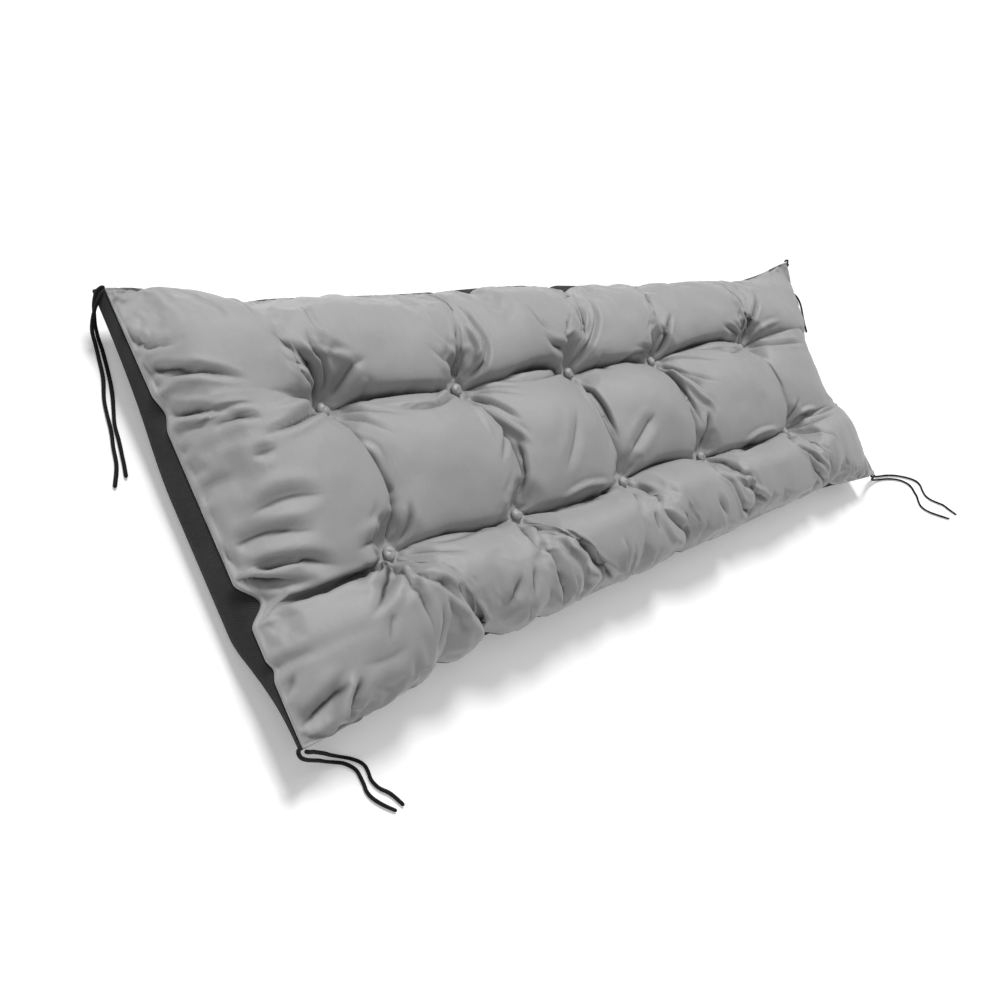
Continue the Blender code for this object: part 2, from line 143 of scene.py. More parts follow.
# ---- side profiles: drop as a share of the seam height, inset, share of the side's bulge ----
SIDE_PROFILE = ((0.00, 0.000, 0.0), (0.25, 0.000, 0.7), (0.58, 0.000, 1.0), (0.86, 0.006, 0.6), (1.00, 0.028, 0.0))
PINCHED = ((0.00, 0.000, 0.0), (0.12, 0.001, 0.0), (0.30, 0.009, 0.0), (0.66, 0.044, 0.0), (1.00, 0.090, 0.0))
FULL = ((0.00, 0.000, 0.0), (0.12, -0.004, 0.0), (0.30, -0.003, 0.0), (0.66, 0.022, 0.0), (1.00, 0.070, 0.0))
CORNER_PROFILE = {"bottom_left": PINCHED, "bottom_right": PINCHED, "top_right": PINCHED, "top_left": FULL}
# each corner's profile grows to the full side over this distance
CORNER_REACH = {"bottom_left": 0.13, "bottom_right": 0.13, "top_right": 0.13, "top_left": 0.22}

# the seam's tucks, where a pleat runs into it: place along the side, pull inwards, half width
SEAM_TUCKS = {
    "left": ((-0.104, 0.020, 0.024), (0.104, 0.006, 0.022), (-0.170, 0.004, 0.012)),
    "right": ((-0.088, 0.002, 0.040), (0.080, 0.002, 0.040)),
    "bottom": (
        (-0.574, 0.012, 0.036), (-0.485, 0.013, 0.040), (-0.404, 0.009, 0.032), (-0.325, 0.005, 0.020),
        (-0.190, 0.007, 0.026), (-0.060, 0.008, 0.030), (0.145, 0.009, 0.030), (0.510, 0.011, 0.040),
    ),
    "top": (
        (-0.600, 0.003, 0.060), (-0.245, 0.012, 0.035), (-0.020, 0.011, 0.045), (0.190, 0.008, 0.035),
        (0.520, 0.009, 0.040),
    ),
}

# ---- ties: routes from the corner to the free end, the height left out on the floor ----
LYING = 2.4                 # height of a strand's middle there, in millimetres
TIE_ROUTES = {
    "tie_top_left_a": (
        (-757, 245.4, 50), (-760.5, 241.3, 48.5), (-764, 236, 44.5), (-766.3, 230.6, 37), (-766.5, 225.2, 27),
        (-764.5, 219.3, 16), (-761, 209.4, 6.5), (-761, 197), (-765.2, 174), (-773.2, 151), (-776.6, 135),
        (-778.7, 121), (-781, 110), (-784.6, 97), (-787.7, 82), (-791.4, 72), (-799.5, 56),
    ),
    "tie_top_left_b": (
        (-752.6, 250.3, 50), (-756.6, 250.2, 48), (-760.6, 247, 43), (-762.5, 239.6, 35.5),
        (-761.8, 232.2, 27.5), (-760, 224.8, 18.5), (-757, 215.4, 9.5), (-754.6, 203, 3.6), (-758.5, 174),
        (-763, 154), (-768, 138.5), (-773.6, 121), (-776, 104), (-779, 88), (-781, 77.5), (-784.2, 64),
    ),
    "tie_bottom_left_a": (
        (-757.4, -245.4, 50), (-758.8, -250, 49), (-756, -254.5, 46.5), (-749, -257.9, 42),
        (-738, -260.8, 34), (-725, -263.7, 24), (-711, -267.6, 13), (-697, -272, 5), (-686, -277),
        (-679, -283.5), (-675, -290), (-674, -298), (-673.8, -306), (-674.2, -312), (-672, -319),
        (-667, -326.5), (-660, -334.5), (-650, -344),
    ),
    "tie_bottom_left_b": (
        (-752.4, -250.4, 50), (-747, -252.5, 48), (-739, -254, 42.5), (-729, -256.4, 34),
        (-716, -259.8, 23.5), (-702, -264.2, 12), (-688, -269.6, 4.6), (-676, -276), (-667.5, -283),
        (-663.5, -289.5), (-663, -297), (-663.6, -303), (-662, -309), (-658, -316), (-650, -324),
        (-645, -331.5), (-639, -343),
    ),
    "tie_bottom_right_a": (
        (744, -239.4, 50), (750, -240.4, 48), (760, -241.5, 42.5), (776, -243.3, 32), (800, -245.5, 19.5),
        (840, -248.5, 8), (880, -252.5, 3), (920, -258), (958, -266), (990, -276), (1014, -288.5),
        (1024, -300), (1025, -312), (1026, -323), (1020, -334), (1018, -346), (1030, -358), (1054, -371),
        (1087, -385), (1138, -405.5),
    ),
    "tie_bottom_right_b": (
        (746.5, -234.6, 49.4), (756, -234.4, 47), (766, -235.2, 41), (783, -236.8, 30.5), (808, -238.8, 18.5),
        (846, -241.5, 8), (888, -245.5, 3), (930, -251), (975, -260), (1018, -272), (1052, -284),
        (1073, -296), (1078, -307), (1074, -319), (1076, -332), (1092, -345), (1123, -360), (1147, -371),
        (1167, -387), (1194, -407),
    ),
    "tie_top_right_a": (
        (761.4, 245.3, 95.4), (768, 247.5, 97), (784, 249.5, 94), (805, 250, 82), (824, 248, 61),
        (841, 245, 37), (858, 242, 16), (880, 238, 4), (915, 232), (948, 226), (970, 214), (972, 196),
        (962, 178), (946, 158), (932, 138), (921, 119),
    ),
    "tie_top_right_b": (
        (764.5, 240.5, 94.4), (774, 241, 93.6), (788, 241.8, 88.5), (803, 242, 75), (819, 240, 53),
        (834, 237, 30), (850, 234, 12), (872, 230, 3), (905, 225), (936, 218), (956, 206), (955, 193),
        (942, 180), (931, 167), (923, 150),
    ),
}

# ---- camera, where the photo was taken from ----
CAMERA_PLACE = (-1.2731, -0.2559, 0.8507)
CAMERA_RIGHT = (0.63925, -0.42921, 0.63807)
CAMERA_AHEAD = (0.74688, 0.14895, -0.64806)
CAMERA_LENS = 35.377        # millimetres
CAMERA_SENSOR = 36.0

# ---- folds of the grey face, in millimetres ----
# route from the button or valley outwards; width; rise, or fall if negative; where it fades in and out,
# as shares of its length; and for a step, how much higher its left side is than its right
FOLDS = (
    # top left puff, from the side seam inwards
    (((-756, 186), (-740, 170), (-722, 158)), 16, -5.5, 0.05, 0.7),
    (((-750, 148), (-728, 130), (-701, 114), (-678, 101)), 13, -6, 0.05, 0.6),
    (((-752, 104), (-735, 91), (-713, 80)), 14, -8, 0.02, 0.7),
    (((-742, 88), (-724, 76), (-704, 70)), 12, 3, 0.3, 0.5),
    (((-728, 67), (-705, 68), (-680, 58)), 13, -6, 0.35, 0.5),
    (((-596, 68), (-633, 54), (-668, 45), (-702, 42)), 13, -7, 0.2, 0.5),
    (((-606, 74), (-646, 66), (-684, 60)), 14, 3, 0.3, 0.5),
    (((-712, 26), (-682, 26)), 16, -5, 0.5, 0.5),
    # middle left puff
    (((-730, -25), (-704, -22), (-681, -24), (-652, -32)), 24, -5.5, 0.3, 0.5),
    (((-745, -46), (-720, -46), (-689, -56), (-672, -62)), 22, -5.5, 0.1, 0.5),
    (((-738, -72), (-705, -79), (-674, -93), (-655, -98)), 22, -6.5, 0.15, 0.5),
    (((-742, -62), (-705, -70), (-668, -84)), 12, 3, 0.3, 0.5),
    (((-753, -76), (-731, -91), (-698, -101)), 13, -6.5, 0.05, 0.5),
    (((-572, -90), (-594, -94), (-620, -80)), 13, 4, 0.25, 0.5),
    (((-580, -82), (-606, -87), (-644, -89)), 22, -5, 0.3, 0.5),
    # main crease and the leaf below it
    (((-580, -106), (-621, -114), (-660, -115), (-700, -116), (-742, -115)), 13, -4.5, 0.1, 0.3, 2),
    (((-576, -106), (-598, -114), (-624, -127), (-647, -130), (-664, -124)), 11, 4.5, 0.15, 0.35),
    (((-592, -108), (-626, -121), (-652, -121)), 7, -4, 0.3, 0.4),
    # above the first top button
    (((-580, 86), (-606, 92), (-620, 109), (-619, 136), (-634, 160)), 13, -3, 0.1, 0.35, 4.5),
    (((-572, 90), (-589, 104), (-604, 124), (-612, 148)), 13, -8, 0.1, 0.5),
    (((-570, 94), (-594, 118), (-600, 150)), 9, 4, 0.2, 0.5),
    (((-564, 96), (-586, 126), (-586, 158)), 10, -5, 0.15, 0.5),
    (((-560, 142), (-572, 157), (-562, 190)), 13, -3, 0.3, 0.3, 3),
    (((-560, 88), (-543, 102), (-518, 114)), 14, -3.5, 0.1, 0.6),
    # above the second
    (((-348, 90), (-352, 112), (-351, 128), (-340, 155)), 18, -8, 0.06, 0.6),
    (((-330, 98), (-321, 110), (-322, 128), (-326, 152)), 9, 4.5, 0.2, 0.4),
    (((-334, 88), (-320, 93), (-311, 108), (-309, 126), (-312, 148), (-312, 180)), 12, -4, 0.15, 0.25, 4),
    (((-362, 96), (-402, 106), (-424, 124)), 16, -3.5, 0.1, 0.5),
    (((-362, 106), (-390, 122), (-404, 146)), 14, 2.5, 0.2, 0.5),
    # above the third
    (((-118, 92), (-150, 96), (-180, 104), (-198, 122)), 16, -6.5, 0.1, 0.5),
    (((-104, 88), (-84, 103), (-60, 124), (-40, 146), (-14, 190)), 14, -4, 0.12, 0.3, 4),
    (((-86, 116), (-62, 142), (-46, 172)), 10, 3.5, 0.3, 0.4),
    (((-176, 118), (-190, 138), (-196, 166)), 12, -2.5, 0.3, 0.5),
    (((-70, 182), (-42, 196), (-16, 206)), 12, -3.5, 0.4, 0.4),
    # above the fourth
    (((126, 88), (138, 106), (126, 124), (112, 150), (150, 190)), 12, -3, 0.1, 0.25, 4.5),
    (((128, 84), (140, 96), (152, 116), (178, 140)), 12, -5.5, 0.1, 0.5),
    (((104, 84), (84, 84), (16, 88)), 12, -3, 0.2, 0.5),
    # above the fifth
    (((438, 84), (450, 96), (440, 122), (400, 158), (430, 197)), 12, -3, 0.1, 0.25, 4.5),
    (((444, 84), (452, 110), (524, 174)), 13, -5, 0.1, 0.5),
    (((420, 84), (382, 88), (302, 106)), 13, -5, 0.15, 0.4),
    (((424, 90), (398, 92), (346, 112)), 11, -4.5, 0.2, 0.5),
    (((400, 72), (298, 50), (272, 58), (234, 62)), 11, -3.5, 0.2, 0.3),
    # fine lines running right from the first two top buttons
    (((-556, 72), (-530, 56), (-500, 36)), 10, -3, 0.2, 0.6),
    (((-560, 66), (-544, 42), (-524, 12)), 10, -2.5, 0.2, 0.6),
    (((-340, 73), (-305, 62), (-268, 50)), 9, -2.8, 0.2, 0.6),
    (((-342, 68), (-312, 54), (-276, 34)), 9, -2.5, 0.2, 0.6),
    # second lines along the upper valley
    (((-520, 62), (-486, 52), (-448, 47), (-416, 58), (-374, 76)), 9, 3.5, 0.3, 0.3),
    (((-510, 54), (-470, 42), (-424, 48), (-372, 70)), 8, -4, 0.3, 0.3),
    (((-300, 70), (-244, 62), (-195, 66), (-120, 82)), 9, -4.5, 0.3, 0.2),
    (((-290, 78), (-240, 72), (-190, 76)), 9, 2.5, 0.3, 0.3),
    (((-20, 72), (30, 78), (60, 79), (104, 80)), 9, -4, 0.3, 0.2),
    (((210, 76), (260, 66), (330, 62), (400, 70)), 9, -3.5, 0.3, 0.3),
    (((124, 66), (150, 28), (208, -4)), 10, -3.5, 0.1, 0.5),
    (((130, 70), (188, 58), (256, 32)), 9, -3, 0.1, 0.5),
    # along the valleys across the middle row
    (((-574, 50), (-570, 26), (-558, 12), (-554, -10)), 9, 3.5, 0.3, 0.4),
    (((-362, 62), (-374, 38), (-382, 10)), 11, -4, 0.15, 0.4),
    (((-350, 62), (-341, 30), (-329, 4), (-312, -26)), 12, 5, 0.1, 0.25, -1.5),
    (((-342, 60), (-324, 30), (-310, 2)), 10, -4.5, 0.1, 0.4),
    (((-340, 8), (-364, -16), (-404, -46)), 12, -4, 0.2, 0.5),
    (((-382, 40), (-386, 12), (-390, -14)), 11, 3, 0.3, 0.5),
    (((-328, -12), (-332, -44), (-340, -80)), 12, -4.5, 0.3, 0.2),
    (((-116, 60), (-128, 30), (-134, -6), (-128, -34)), 12, -5, 0.15, 0.3),
    (((-126, 58), (-150, 28), (-160, -12)), 11, 3, 0.2, 0.4),
    (((-152, -12), (-145, -36), (-144, -58)), 10, -4, 0.4, 0.3),
    (((112, 60), (92, 34), (86, 4)), 10, -4, 0.15, 0.4),
    (((122, 52), (128, 24), (138, -8), (152, -30), (148, -50)), 12, 4.5, 0.1, 0.3),
    (((128, 50), (146, 18), (156, -10)), 11, -4, 0.1, 0.4),
    (((142, -36), (130, -70), (124, -92)), 13, -6, 0.3, 0.15),
    (((425, 60), (424, 30), (428, 0)), 10, -3.5, 0.15, 0.4),
    (((420, -82), (412, -54), (402, -24)), 11, -3.5, 0.15, 0.4),
    (((-107, 60), (-106, 20), (-107, -20), (-106, -50)), 8, -6, 0.12, 0.5),
    (((122, 60), (119, 20), (120, -20), (122, -60)), 8, -5, 0.12, 0.4),
    (((-30, -24), (-70, -50), (-102, -72)), 24, -5, 0.3, 0.3),
    (((-215, 8), (-245, -36), (-284, -80)), 22, -3, 0.4, 0.4),
    # second lines along the lower valley
    (((-558, -92), (-546, -78), (-540, -52)), 10, -3.5, 0.2, 0.5),
    (((-540, -109), (-500, -112), (-452, -110), (-420, -116)), 10, -3, 0.3, 0.3),
    (((-330, -106), (-300, -112), (-256, -117), (-200, -112)), 10, -4.5, 0.2, 0.3),
    (((-292, -102), (-250, -94), (-214, -95), (-170, -97)), 8, 3.5, 0.3, 0.3),
    (((-200, -112), (-172, -106), (-148, -100)), 9, -3.5, 0.3, 0.3),
    (((140, -98), (184, -115), (256, -108), (296, -114)), 10, -4.5, 0.2, 0.3),
    (((204, -102), (262, -94), (340, -94)), 9, 3.5, 0.3, 0.3),
    (((444, -98), (500, -102), (560, -104)), 11, -4, 0.2, 0.5),
    (((444, -88), (480, -78), (530, -80)), 11, 3, 0.2, 0.5),
    # below the first bottom button
    (((-582, -108), (-604, -118), (-632, -137), (-652, -155), (-669, -165)), 14, -7.5, 0.12, 0.45),
    (((-590, -124), (-616, -142), (-644, -168)), 13, 3.5, 0.3, 0.5),
    (((-640, -166), (-655, -188)), 13, -2.5, 0.3, 0.4),
    (((-584, -114), (-604, -126), (-607, -148), (-605, -172), (-601, -197)), 13, -5, 0.15, 0.35),
    (((-576, -114), (-594, -138), (-568, -164), (-540, -186)), 12, -4.5, 0.15, 0.35),
    (((-558, -163), (-546, -172), (-530, -190), (-498, -214)), 15, -7.5, 0.2, 0.15, -2),
    (((-574, -160), (-560, -176), (-542, -198)), 11, 4, 0.3, 0.3),
    (((-586, -170), (-584, -184), (-596, -207)), 13, -3, 0.3, 0.3),
    (((-556, -106), (-530, -122), (-500, -134)), 13, -3, 0.2, 0.5),
    # below the second
    (((-368, -114), (-352, -128), (-345, -140), (-320, -166), (-298, -192),
      (-248, -214)), 13, -6, 0.1, 0.15, -1.5),
    (((-376, -138), (-350, -160), (-326, -184), (-290, -207)), 11, 4.5, 0.2, 0.25),
    (((-376, -112), (-400, -126), (-408, -146), (-405, -163)), 13, -5.5, 0.15, 0.5),
    (((-392, -150), (-385, -167), (-384, -180), (-377, -194), (-376, -209)), 13, -7, 0.25, 0.2, -1.5),
    (((-372, -162), (-366, -184), (-360, -206)), 11, 4, 0.3, 0.3),
    (((-450, -170), (-462, -179), (-477, -190)), 15, -5, 0.3, 0.4),
    (((-426, -168), (-438, -189)), 14, -5, 0.3, 0.4),
    # below the third
    (((-118, -112), (-150, -124), (-182, -147)), 13, -4, 0.15, 0.5),
    (((-104, -108), (-98, -121), (-120, -141), (-130, -160), (-110, -177),
      (-38, -211)), 12, -5.5, 0.1, 0.15, -1.5),
    (((-142, -150), (-138, -176), (-92, -202), (-44, -216)), 11, 2.5, 0.25, 0.25),
    (((-242, -172), (-245, -190), (-246, -209)), 13, 1, 0.3, 0.2, -4.5),
    (((-156, -160), (-156, -178)), 12, -4, 0.3, 0.3),
    (((16, -166), (40, -186)), 15, -4, 0.3, 0.4),
    # below the fourth
    (((124, -106), (134, -120), (128, -136), (131, -152), (158, -162)), 11, -4.5, 0.1, 0.3),
    (((102, -106), (62, -122), (54, -138), (72, -157), (82, -175), (98, -190),
      (164, -211)), 12, -5.5, 0.15, 0.12, -1.5),
    (((88, -143), (118, -170), (198, -197)), 13, -4, 0.2, 0.2),
    (((108, -152), (158, -178), (206, -196)), 10, 2.5, 0.3, 0.3),
    # below the fifth and to its right
    (((418, -106), (352, -120), (342, -139), (378, -159), (428, -184)), 12, -5, 0.15, 0.2, -1.5),
    (((352, -138), (372, -172), (412, -193), (444, -205)), 12, -4.5, 0.2, 0.15),
    (((378, -150), (412, -172), (452, -194)), 11, 2.5, 0.3, 0.3),
    (((446, -92), (462, -84), (522, -90), (634, -88)), 12, -4, 0.1, 0.4),
    (((444, -104), (470, -126), (500, -158)), 12, -3, 0.2, 0.5),
    (((436, -86), (452, -72), (470, -50)), 13, -4, 0.15, 0.5),
    (((444, 78), (474, 62), (540, 54), (612, 50)), 14, -4, 0.1, 0.4),
    (((444, 86), (490, 96), (540, 98)), 12, 2.5, 0.2, 0.5),
    # bottom left corner
    (((-738, -180), (-754, -198)), 14, -2.5, 0.4, 0.4),
    (((-696, -198), (-722, -210), (-750, -226)), 18, -6.5, 0.3, 0.3),
    (((-690, -196), (-708, -212), (-714, -236)), 13, 5, 0.3, 0.3),
    (((-686, -198), (-698, -214), (-702, -238)), 12, -6, 0.3, 0.3),
    (((-630, -190), (-660, -194), (-690, -192)), 18, -2, 0.4, 0.4),
)
FOLD_LIFT = 0.0014          # metres out of the cloth for a fold of rise 1
FOLD_HALF = 0.00036         # half width in metres for a fold of width 1

# ---- mesh and cloth ----
COLUMN_STEPS = (70, 78, 86, 80, 108, 98)    # divisions of the puffs along the cushion
ROW_STEPS = (53, 60, 55)                    # and across it
EVEN_SHARE = 0.50           # 0 crowds them at the valleys, 1 spaces them evenly
SETTLE_FRAMES = 16
CLOTH_CUT = {
    "quality": 5, "mass": 0.15, "tension_stiffness": 30.0, "compression_stiffness": 30.0,
    "shear_stiffness": 12.0, "bending_stiffness": 0.05, "use_pressure": True,
    "uniform_pressure_force": 1.4,
    "shrink_min": -0.045,   # cut this much larger than the shape it starts from
}
MOST_MOVE = 0.006           # no point of the cloth moves further than this


# ---- small sums ----
def smooth_step(value):
    """0 below 0, 1 above 1, with a soft start and end between."""
    t = np.clip(value, 0.0, 1.0)
    return t * t * (3.0 - 2.0 * t)


def blend(first, second, share):
    return first + (second - first) * share


def bump_at(value, place, half_width):
    """1 at the place, falling to 0 at half_width either side."""
    return 1.0 - smooth_step(np.abs(value - place) / half_width)


def bell(off, width):
    """1 on the line, falling away softly for ever."""
    return np.exp(-(off / width) ** 2)


def between(p0, p1, p2, p3, t):
    """The place a share of the way from p1 to p2 on a smooth curve through all four."""
    return 0.5 * (
        2.0 * p1 + (p2 - p0) * t + (2.0 * p0 - 5.0 * p1 + 4.0 * p2 - p3) * t * t
        + (3.0 * p1 - p0 - 3.0 * p2 + p3) * t ** 3
    )


def curve_through(route, steps):
    """A smooth curve through a route in millimetres, with so many steps from each point to the next."""
    knots = np.array(route, float) * MM
    ends = np.vstack([2.0 * knots[0] - knots[1], knots, 2.0 * knots[-1] - knots[-2]])
    curve = [knots[0]]
    for four in zip(ends, ends[1:], ends[2:], ends[3:]):
        curve += [between(*four, k / steps) for k in range(1, steps + 1)]
    return np.array(curve)


def distance_along(points):
    """How far along a line each of its points is."""
    return np.concatenate([[0.0], np.cumsum(np.linalg.norm(np.diff(points, axis=0), axis=1))])


def button_distance(x, y):
    """How far each place on the cloth is from the middle of the nearest button."""
    return np.min([np.hypot(x - column, y - row) for column in COLUMNS for row in ROWS], axis=0)


# ---- scene helpers ----
def link(obj):
    bpy.context.scene.collection.objects.link(obj)
    return obj


def deselect_all():
    for obj in bpy.context.selected_objects:
        obj.select_set(False)


def new_piece(name, mesh, finish):
    """A smooth mesh with its material, as an object of the scene."""
    mesh.shade_smooth()
    mesh.materials.append(finish)
    return link(bpy.data.objects.new(name, mesh))


def dress(piece, node):
    """Fastens a finished piece to the part, in place of the plain solid it stands for."""
    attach(piece, "root")
    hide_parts(node)


def place_camera():
    right = Vector(CAMERA_RIGHT).normalized()
    ahead = Vector(CAMERA_AHEAD)
    ahead = (ahead - ahead.dot(right) * right).normalized()
    lens = bpy.data.cameras.new("photo_view")
    lens.lens = CAMERA_LENS
    lens.sensor_width = CAMERA_SENSOR
    lens.clip_start = 0.01
    camera = link(bpy.data.objects.new("photo_view", lens))
    turn = Matrix((right, right.cross(ahead), -ahead)).transposed().to_4x4()
    camera.matrix_world = Matrix.Translation(CAMERA_PLACE) @ turn
    bpy.context.scene.camera = camera


# ---- ties ----
TIE_SIDES = 14
TIE_RING_STEP = 0.0014
TIE_CURVE_STEPS = 16
TIE_LAY = 0.011             # length along the cord of one turn of its strands
TIE_UNEVEN = ((0.05, 0.021), (0.03, 0.0083))    # the share its thickness varies by, and over what length
TIE_HOLLOW = 0.93           # the radius between two strands
TIE_RIDGE = 0.10            # and how much higher they stand
TIE_TIP = 0.16              # the least that its rounded ends narrow to, squared


def tie_line(route):
    """Points an even step apart along a tie, and its length."""
    curve = curve_through([place if len(place) == 3 else (*place, LYING) for place in route], TIE_CURVE_STEPS)
    passed = distance_along(curve)
    wanted = np.linspace(0.0, passed[-1], max(round(passed[-1] / TIE_RING_STEP), 8) + 1)
    return np.stack([np.interp(wanted, passed, curve[:, axis]) for axis in range(3)], axis=1), passed[-1]


def across_line(points):
    """Two directions across a line at each of its points, which don't twist along it."""
    ahead = np.gradient(points, axis=0)
    ahead /= np.linalg.norm(ahead, axis=1)[:, None]
    side = np.cross(ahead[0], (0.0, 0.0, 1.0))
    sides = []
    for direction in ahead:
        side = side - direction * side.dot(direction)
        side = side / np.linalg.norm(side)
        sides.append(side)
    return np.array(sides), np.cross(ahead, sides)


def make_tie(name, route, finish, seed):
    """One strand: a soft twisted cord, a little uneven, with a rounded cut end."""
    points, length = tie_line(route)
    side, up = across_line(points)
    along = np.linspace(0.0, length, len(points))
    dice = np.random.default_rng(seed)
    thick = 1.0 + sum(share * np.sin(along / wave + dice.uniform(0, 6)) for share, wave in TIE_UNEVEN)
    from_end = np.clip(np.minimum(along, length - along) / (0.5 * TIE_DIAMETER), 0.0, 1.0)
    thick *= np.sqrt(np.clip(1.0 - (1.0 - from_end) ** 2, TIE_TIP, 1.0))
    around = TURN * np.arange(TIE_SIDES) / TIE_SIDES
    strands = np.abs(np.cos(1.5 * (around - TURN * along[:, None] / TIE_LAY)))
    radius = 0.5 * TIE_DIAMETER * thick[:, None] * (TIE_HOLLOW + TIE_RIDGE * strands)
    outward = side[:, None] * np.cos(around)[:, None] + up[:, None] * np.sin(around)[:, None]
    bm = bmesh.new()
    uv = bm.loops.layers.uv.new("cloth")
    rings = [[bm.verts.new(place) for place in ring] for ring in points[:, None] + outward * radius[..., None]]
    for n, (lower, upper) in enumerate(zip(rings, rings[1:])):
        for k in range(TIE_SIDES):
            m = (k + 1) % TIE_SIDES
            face = bm.faces.new((lower[k], lower[m], upper[m], upper[k]))
            for loop, (i, j) in zip(face.loops, ((k, n), (k + 1, n), (k + 1, n + 1), (k, n + 1))):
                loop[uv].uv = (i / TIE_SIDES, along[j])
    bm.faces.new(rings[0][::-1])
    bm.faces.new(rings[-1])
    bmesh.ops.recalc_face_normals(bm, faces=bm.faces)
    mesh = bpy.data.meshes.new(name)
    bm.to_mesh(mesh)
    bm.free()
    tie = new_piece(name + "_piece", mesh, finish)
    dress(tie, name)


# ---- seam ----
def curl(x, y):
    """How far the top right corner curls up at each place."""
    corner_x, corner_y = CORNERS["top_right"]
    near = 1.0 - np.hypot(x - corner_x, y - corner_y) / CURL_REACH
    return CURL_HEIGHT * np.maximum(near, 0.0) ** 2


def tuck_pull(side, along):
    return sum(pull * bump_at(along, place, half_width) for place, pull, half_width in SEAM_TUCKS[side])


def drawn_in(side, share, along):
    """How far this side of the seam is pulled in, at a share of the way along it."""
    shape = SIDES[side]
    return shape["draw"] * smooth_step(np.minimum(share, 1.0 - share) / shape["reach"]) + tuck_pull(side, along)


def seam_x(side, y):
    low, high = CORNERS["bottom_" + side], CORNERS["top_" + side]
    share = (y - low[1]) / (high[1] - low[1])
    inward = drawn_in(side, share, y)
    return blend(low[0], high[0], share) + (inward if side == "left" else -inward)


def seam_y(side, x):
    low, high = CORNERS[side + "_left"], CORNERS[side + "_right"]
    share = (x - low[0]) / (high[0] - low[0])
    inward = drawn_in(side, share, x)
    return blend(low[1], high[1], share) + (inward if side == "bottom" else -inward)


def seam_distance(x, y):
    """How far each place on the cloth is from the seam."""
    from_ends = np.minimum(x - seam_x("left", y), seam_x("right", y) - x)
    from_sides = np.minimum(y - seam_y("bottom", x), seam_y("top", x) - y)
    return np.minimum(from_ends, from_sides)


# ---- grey face: start shape ----
X_KNOTS = np.array((CORNERS["top_left"][0], *COLUMNS, CORNERS["top_right"][0]))
Y_KNOTS = np.array((CORNERS["bottom_left"][1], *ROWS, CORNERS["top_left"][1]))
LAST_X, LAST_Y = len(COLUMNS), len(ROWS)    # numbers of the last puff each way


def mesh_lines(steps_of_puffs):
    """For each mesh line: its puff, how far through its steps, and share of the puff's width."""
    puff, step, share = [], [], []
    for number, steps in enumerate(steps_of_puffs):
        for k in range(0 if number == 0 else 1, steps + 1):
            puff.append(number)
            step.append(k / steps)
            share.append(blend(0.5 * (1.0 - math.cos(math.pi * k / steps)), k / steps, EVEN_SHARE))
    return np.array(puff), np.array(step), np.array(share)


def swell(step, low_power, high_power):
    """How full a puff is across its width: nothing at its edges, 1 in its middle."""
    return np.maximum(np.sin(math.pi * step), 0.0) ** blend(low_power, high_power, smooth_step(step))


def bent(knots, bends, ends, along):
    """How far a valley stands off its buttons' line: bow and skew in each span, and its ends' shifts."""
    bends = np.array(bends) * MM
    span = np.clip(np.searchsorted(knots, along) - 1, 0, len(knots) - 2)
    t = np.clip((along - knots[span]) / (knots[span + 1] - knots[span]), 0.0, 1.0)
    off = bends[span, 0] * np.sin(math.pi * t) + bends[span, 1] * np.sin(TURN * t)
    off = off + np.where(span == 0, ends[0] * MM * (1.0 - t), 0.0)
    return off + np.where(span == len(knots) - 2, ends[1] * MM * t, 0.0)


def row_valley(number, x):
    """Where a valley that runs along the cushion lies: its y at each x."""
    return ROWS[number] + bent(X_KNOTS, ROW_BENDS[number], ROW_ENDS[number], x)


def column_valley(number, y):
    """Where a valley that runs across the cushion lies: its x at each y."""
    return COLUMNS[number] + bent(Y_KNOTS, COLUMN_BENDS[number], COLUMN_ENDS[number], y)


def plan_places(px, share_x, py, share_y):
    """Where each point of the mesh lies on the flat cloth, between the valleys either side of its puff."""
    shape = np.broadcast_shapes(px.shape, py.shape)
    which_x, which_y = np.broadcast_to(px, shape), np.broadcast_to(py, shape)
    x, y = np.zeros(shape), np.zeros(shape)
    for _ in range(5):      # the two directions depend on each other a little
        lines = [seam_x("left", y), *(column_valley(n, y) for n in range(LAST_X)), seam_x("right", y)]
        x = blend(np.choose(which_x, lines[:-1]), np.choose(which_x, lines[1:]), share_x)
        lines = [seam_y("bottom", x), *(row_valley(n, x) for n in range(LAST_Y)), seam_y("top", x)]
        y = blend(np.choose(which_y, lines[:-1]), np.choose(which_y, lines[1:]), share_y)
    return x, y


def puff_height(px, share_x, swell_x, py, share_y, swell_y):
    """How far each point stands above the seam: the puff's corners, its valleys' arches and its crown."""
    seats = np.pad(np.full((LAST_Y, LAST_X), SEAT_HEIGHT), 1)      # the seam itself is at 0
    corners = [[seats[py + j, px + i] for i in (0, 1)] for j in (0, 1)]
    row_arch = np.pad(ROW_ARCH, ((1, 1), (0, 0)))
    south, north = row_arch[py, px], row_arch[py + 1, px]
    column_arch = np.pad(COLUMN_ARCH, ((0, 0), (1, 1)))
    west, east = column_arch[py, px], column_arch[py, px + 1]
    ground = blend(blend(*corners[0], share_x), blend(*corners[1], share_x), share_y)
    edges = blend(south, north, share_y) * swell_x + blend(west, east, share_x) * swell_y
    on_seam = ((px == 0) | (px == LAST_X)).astype(int) + ((py == 0) | (py == LAST_Y))
    crown = CROWN * CROWN_SHARE[on_seam] + PUFF_HEIGHT[py, px]
    middle = 0.25 * sum(corners[0] + corners[1]) + 0.5 * (south + north + west + east)
    return ground + edges + (crown - middle) * swell_x * swell_y


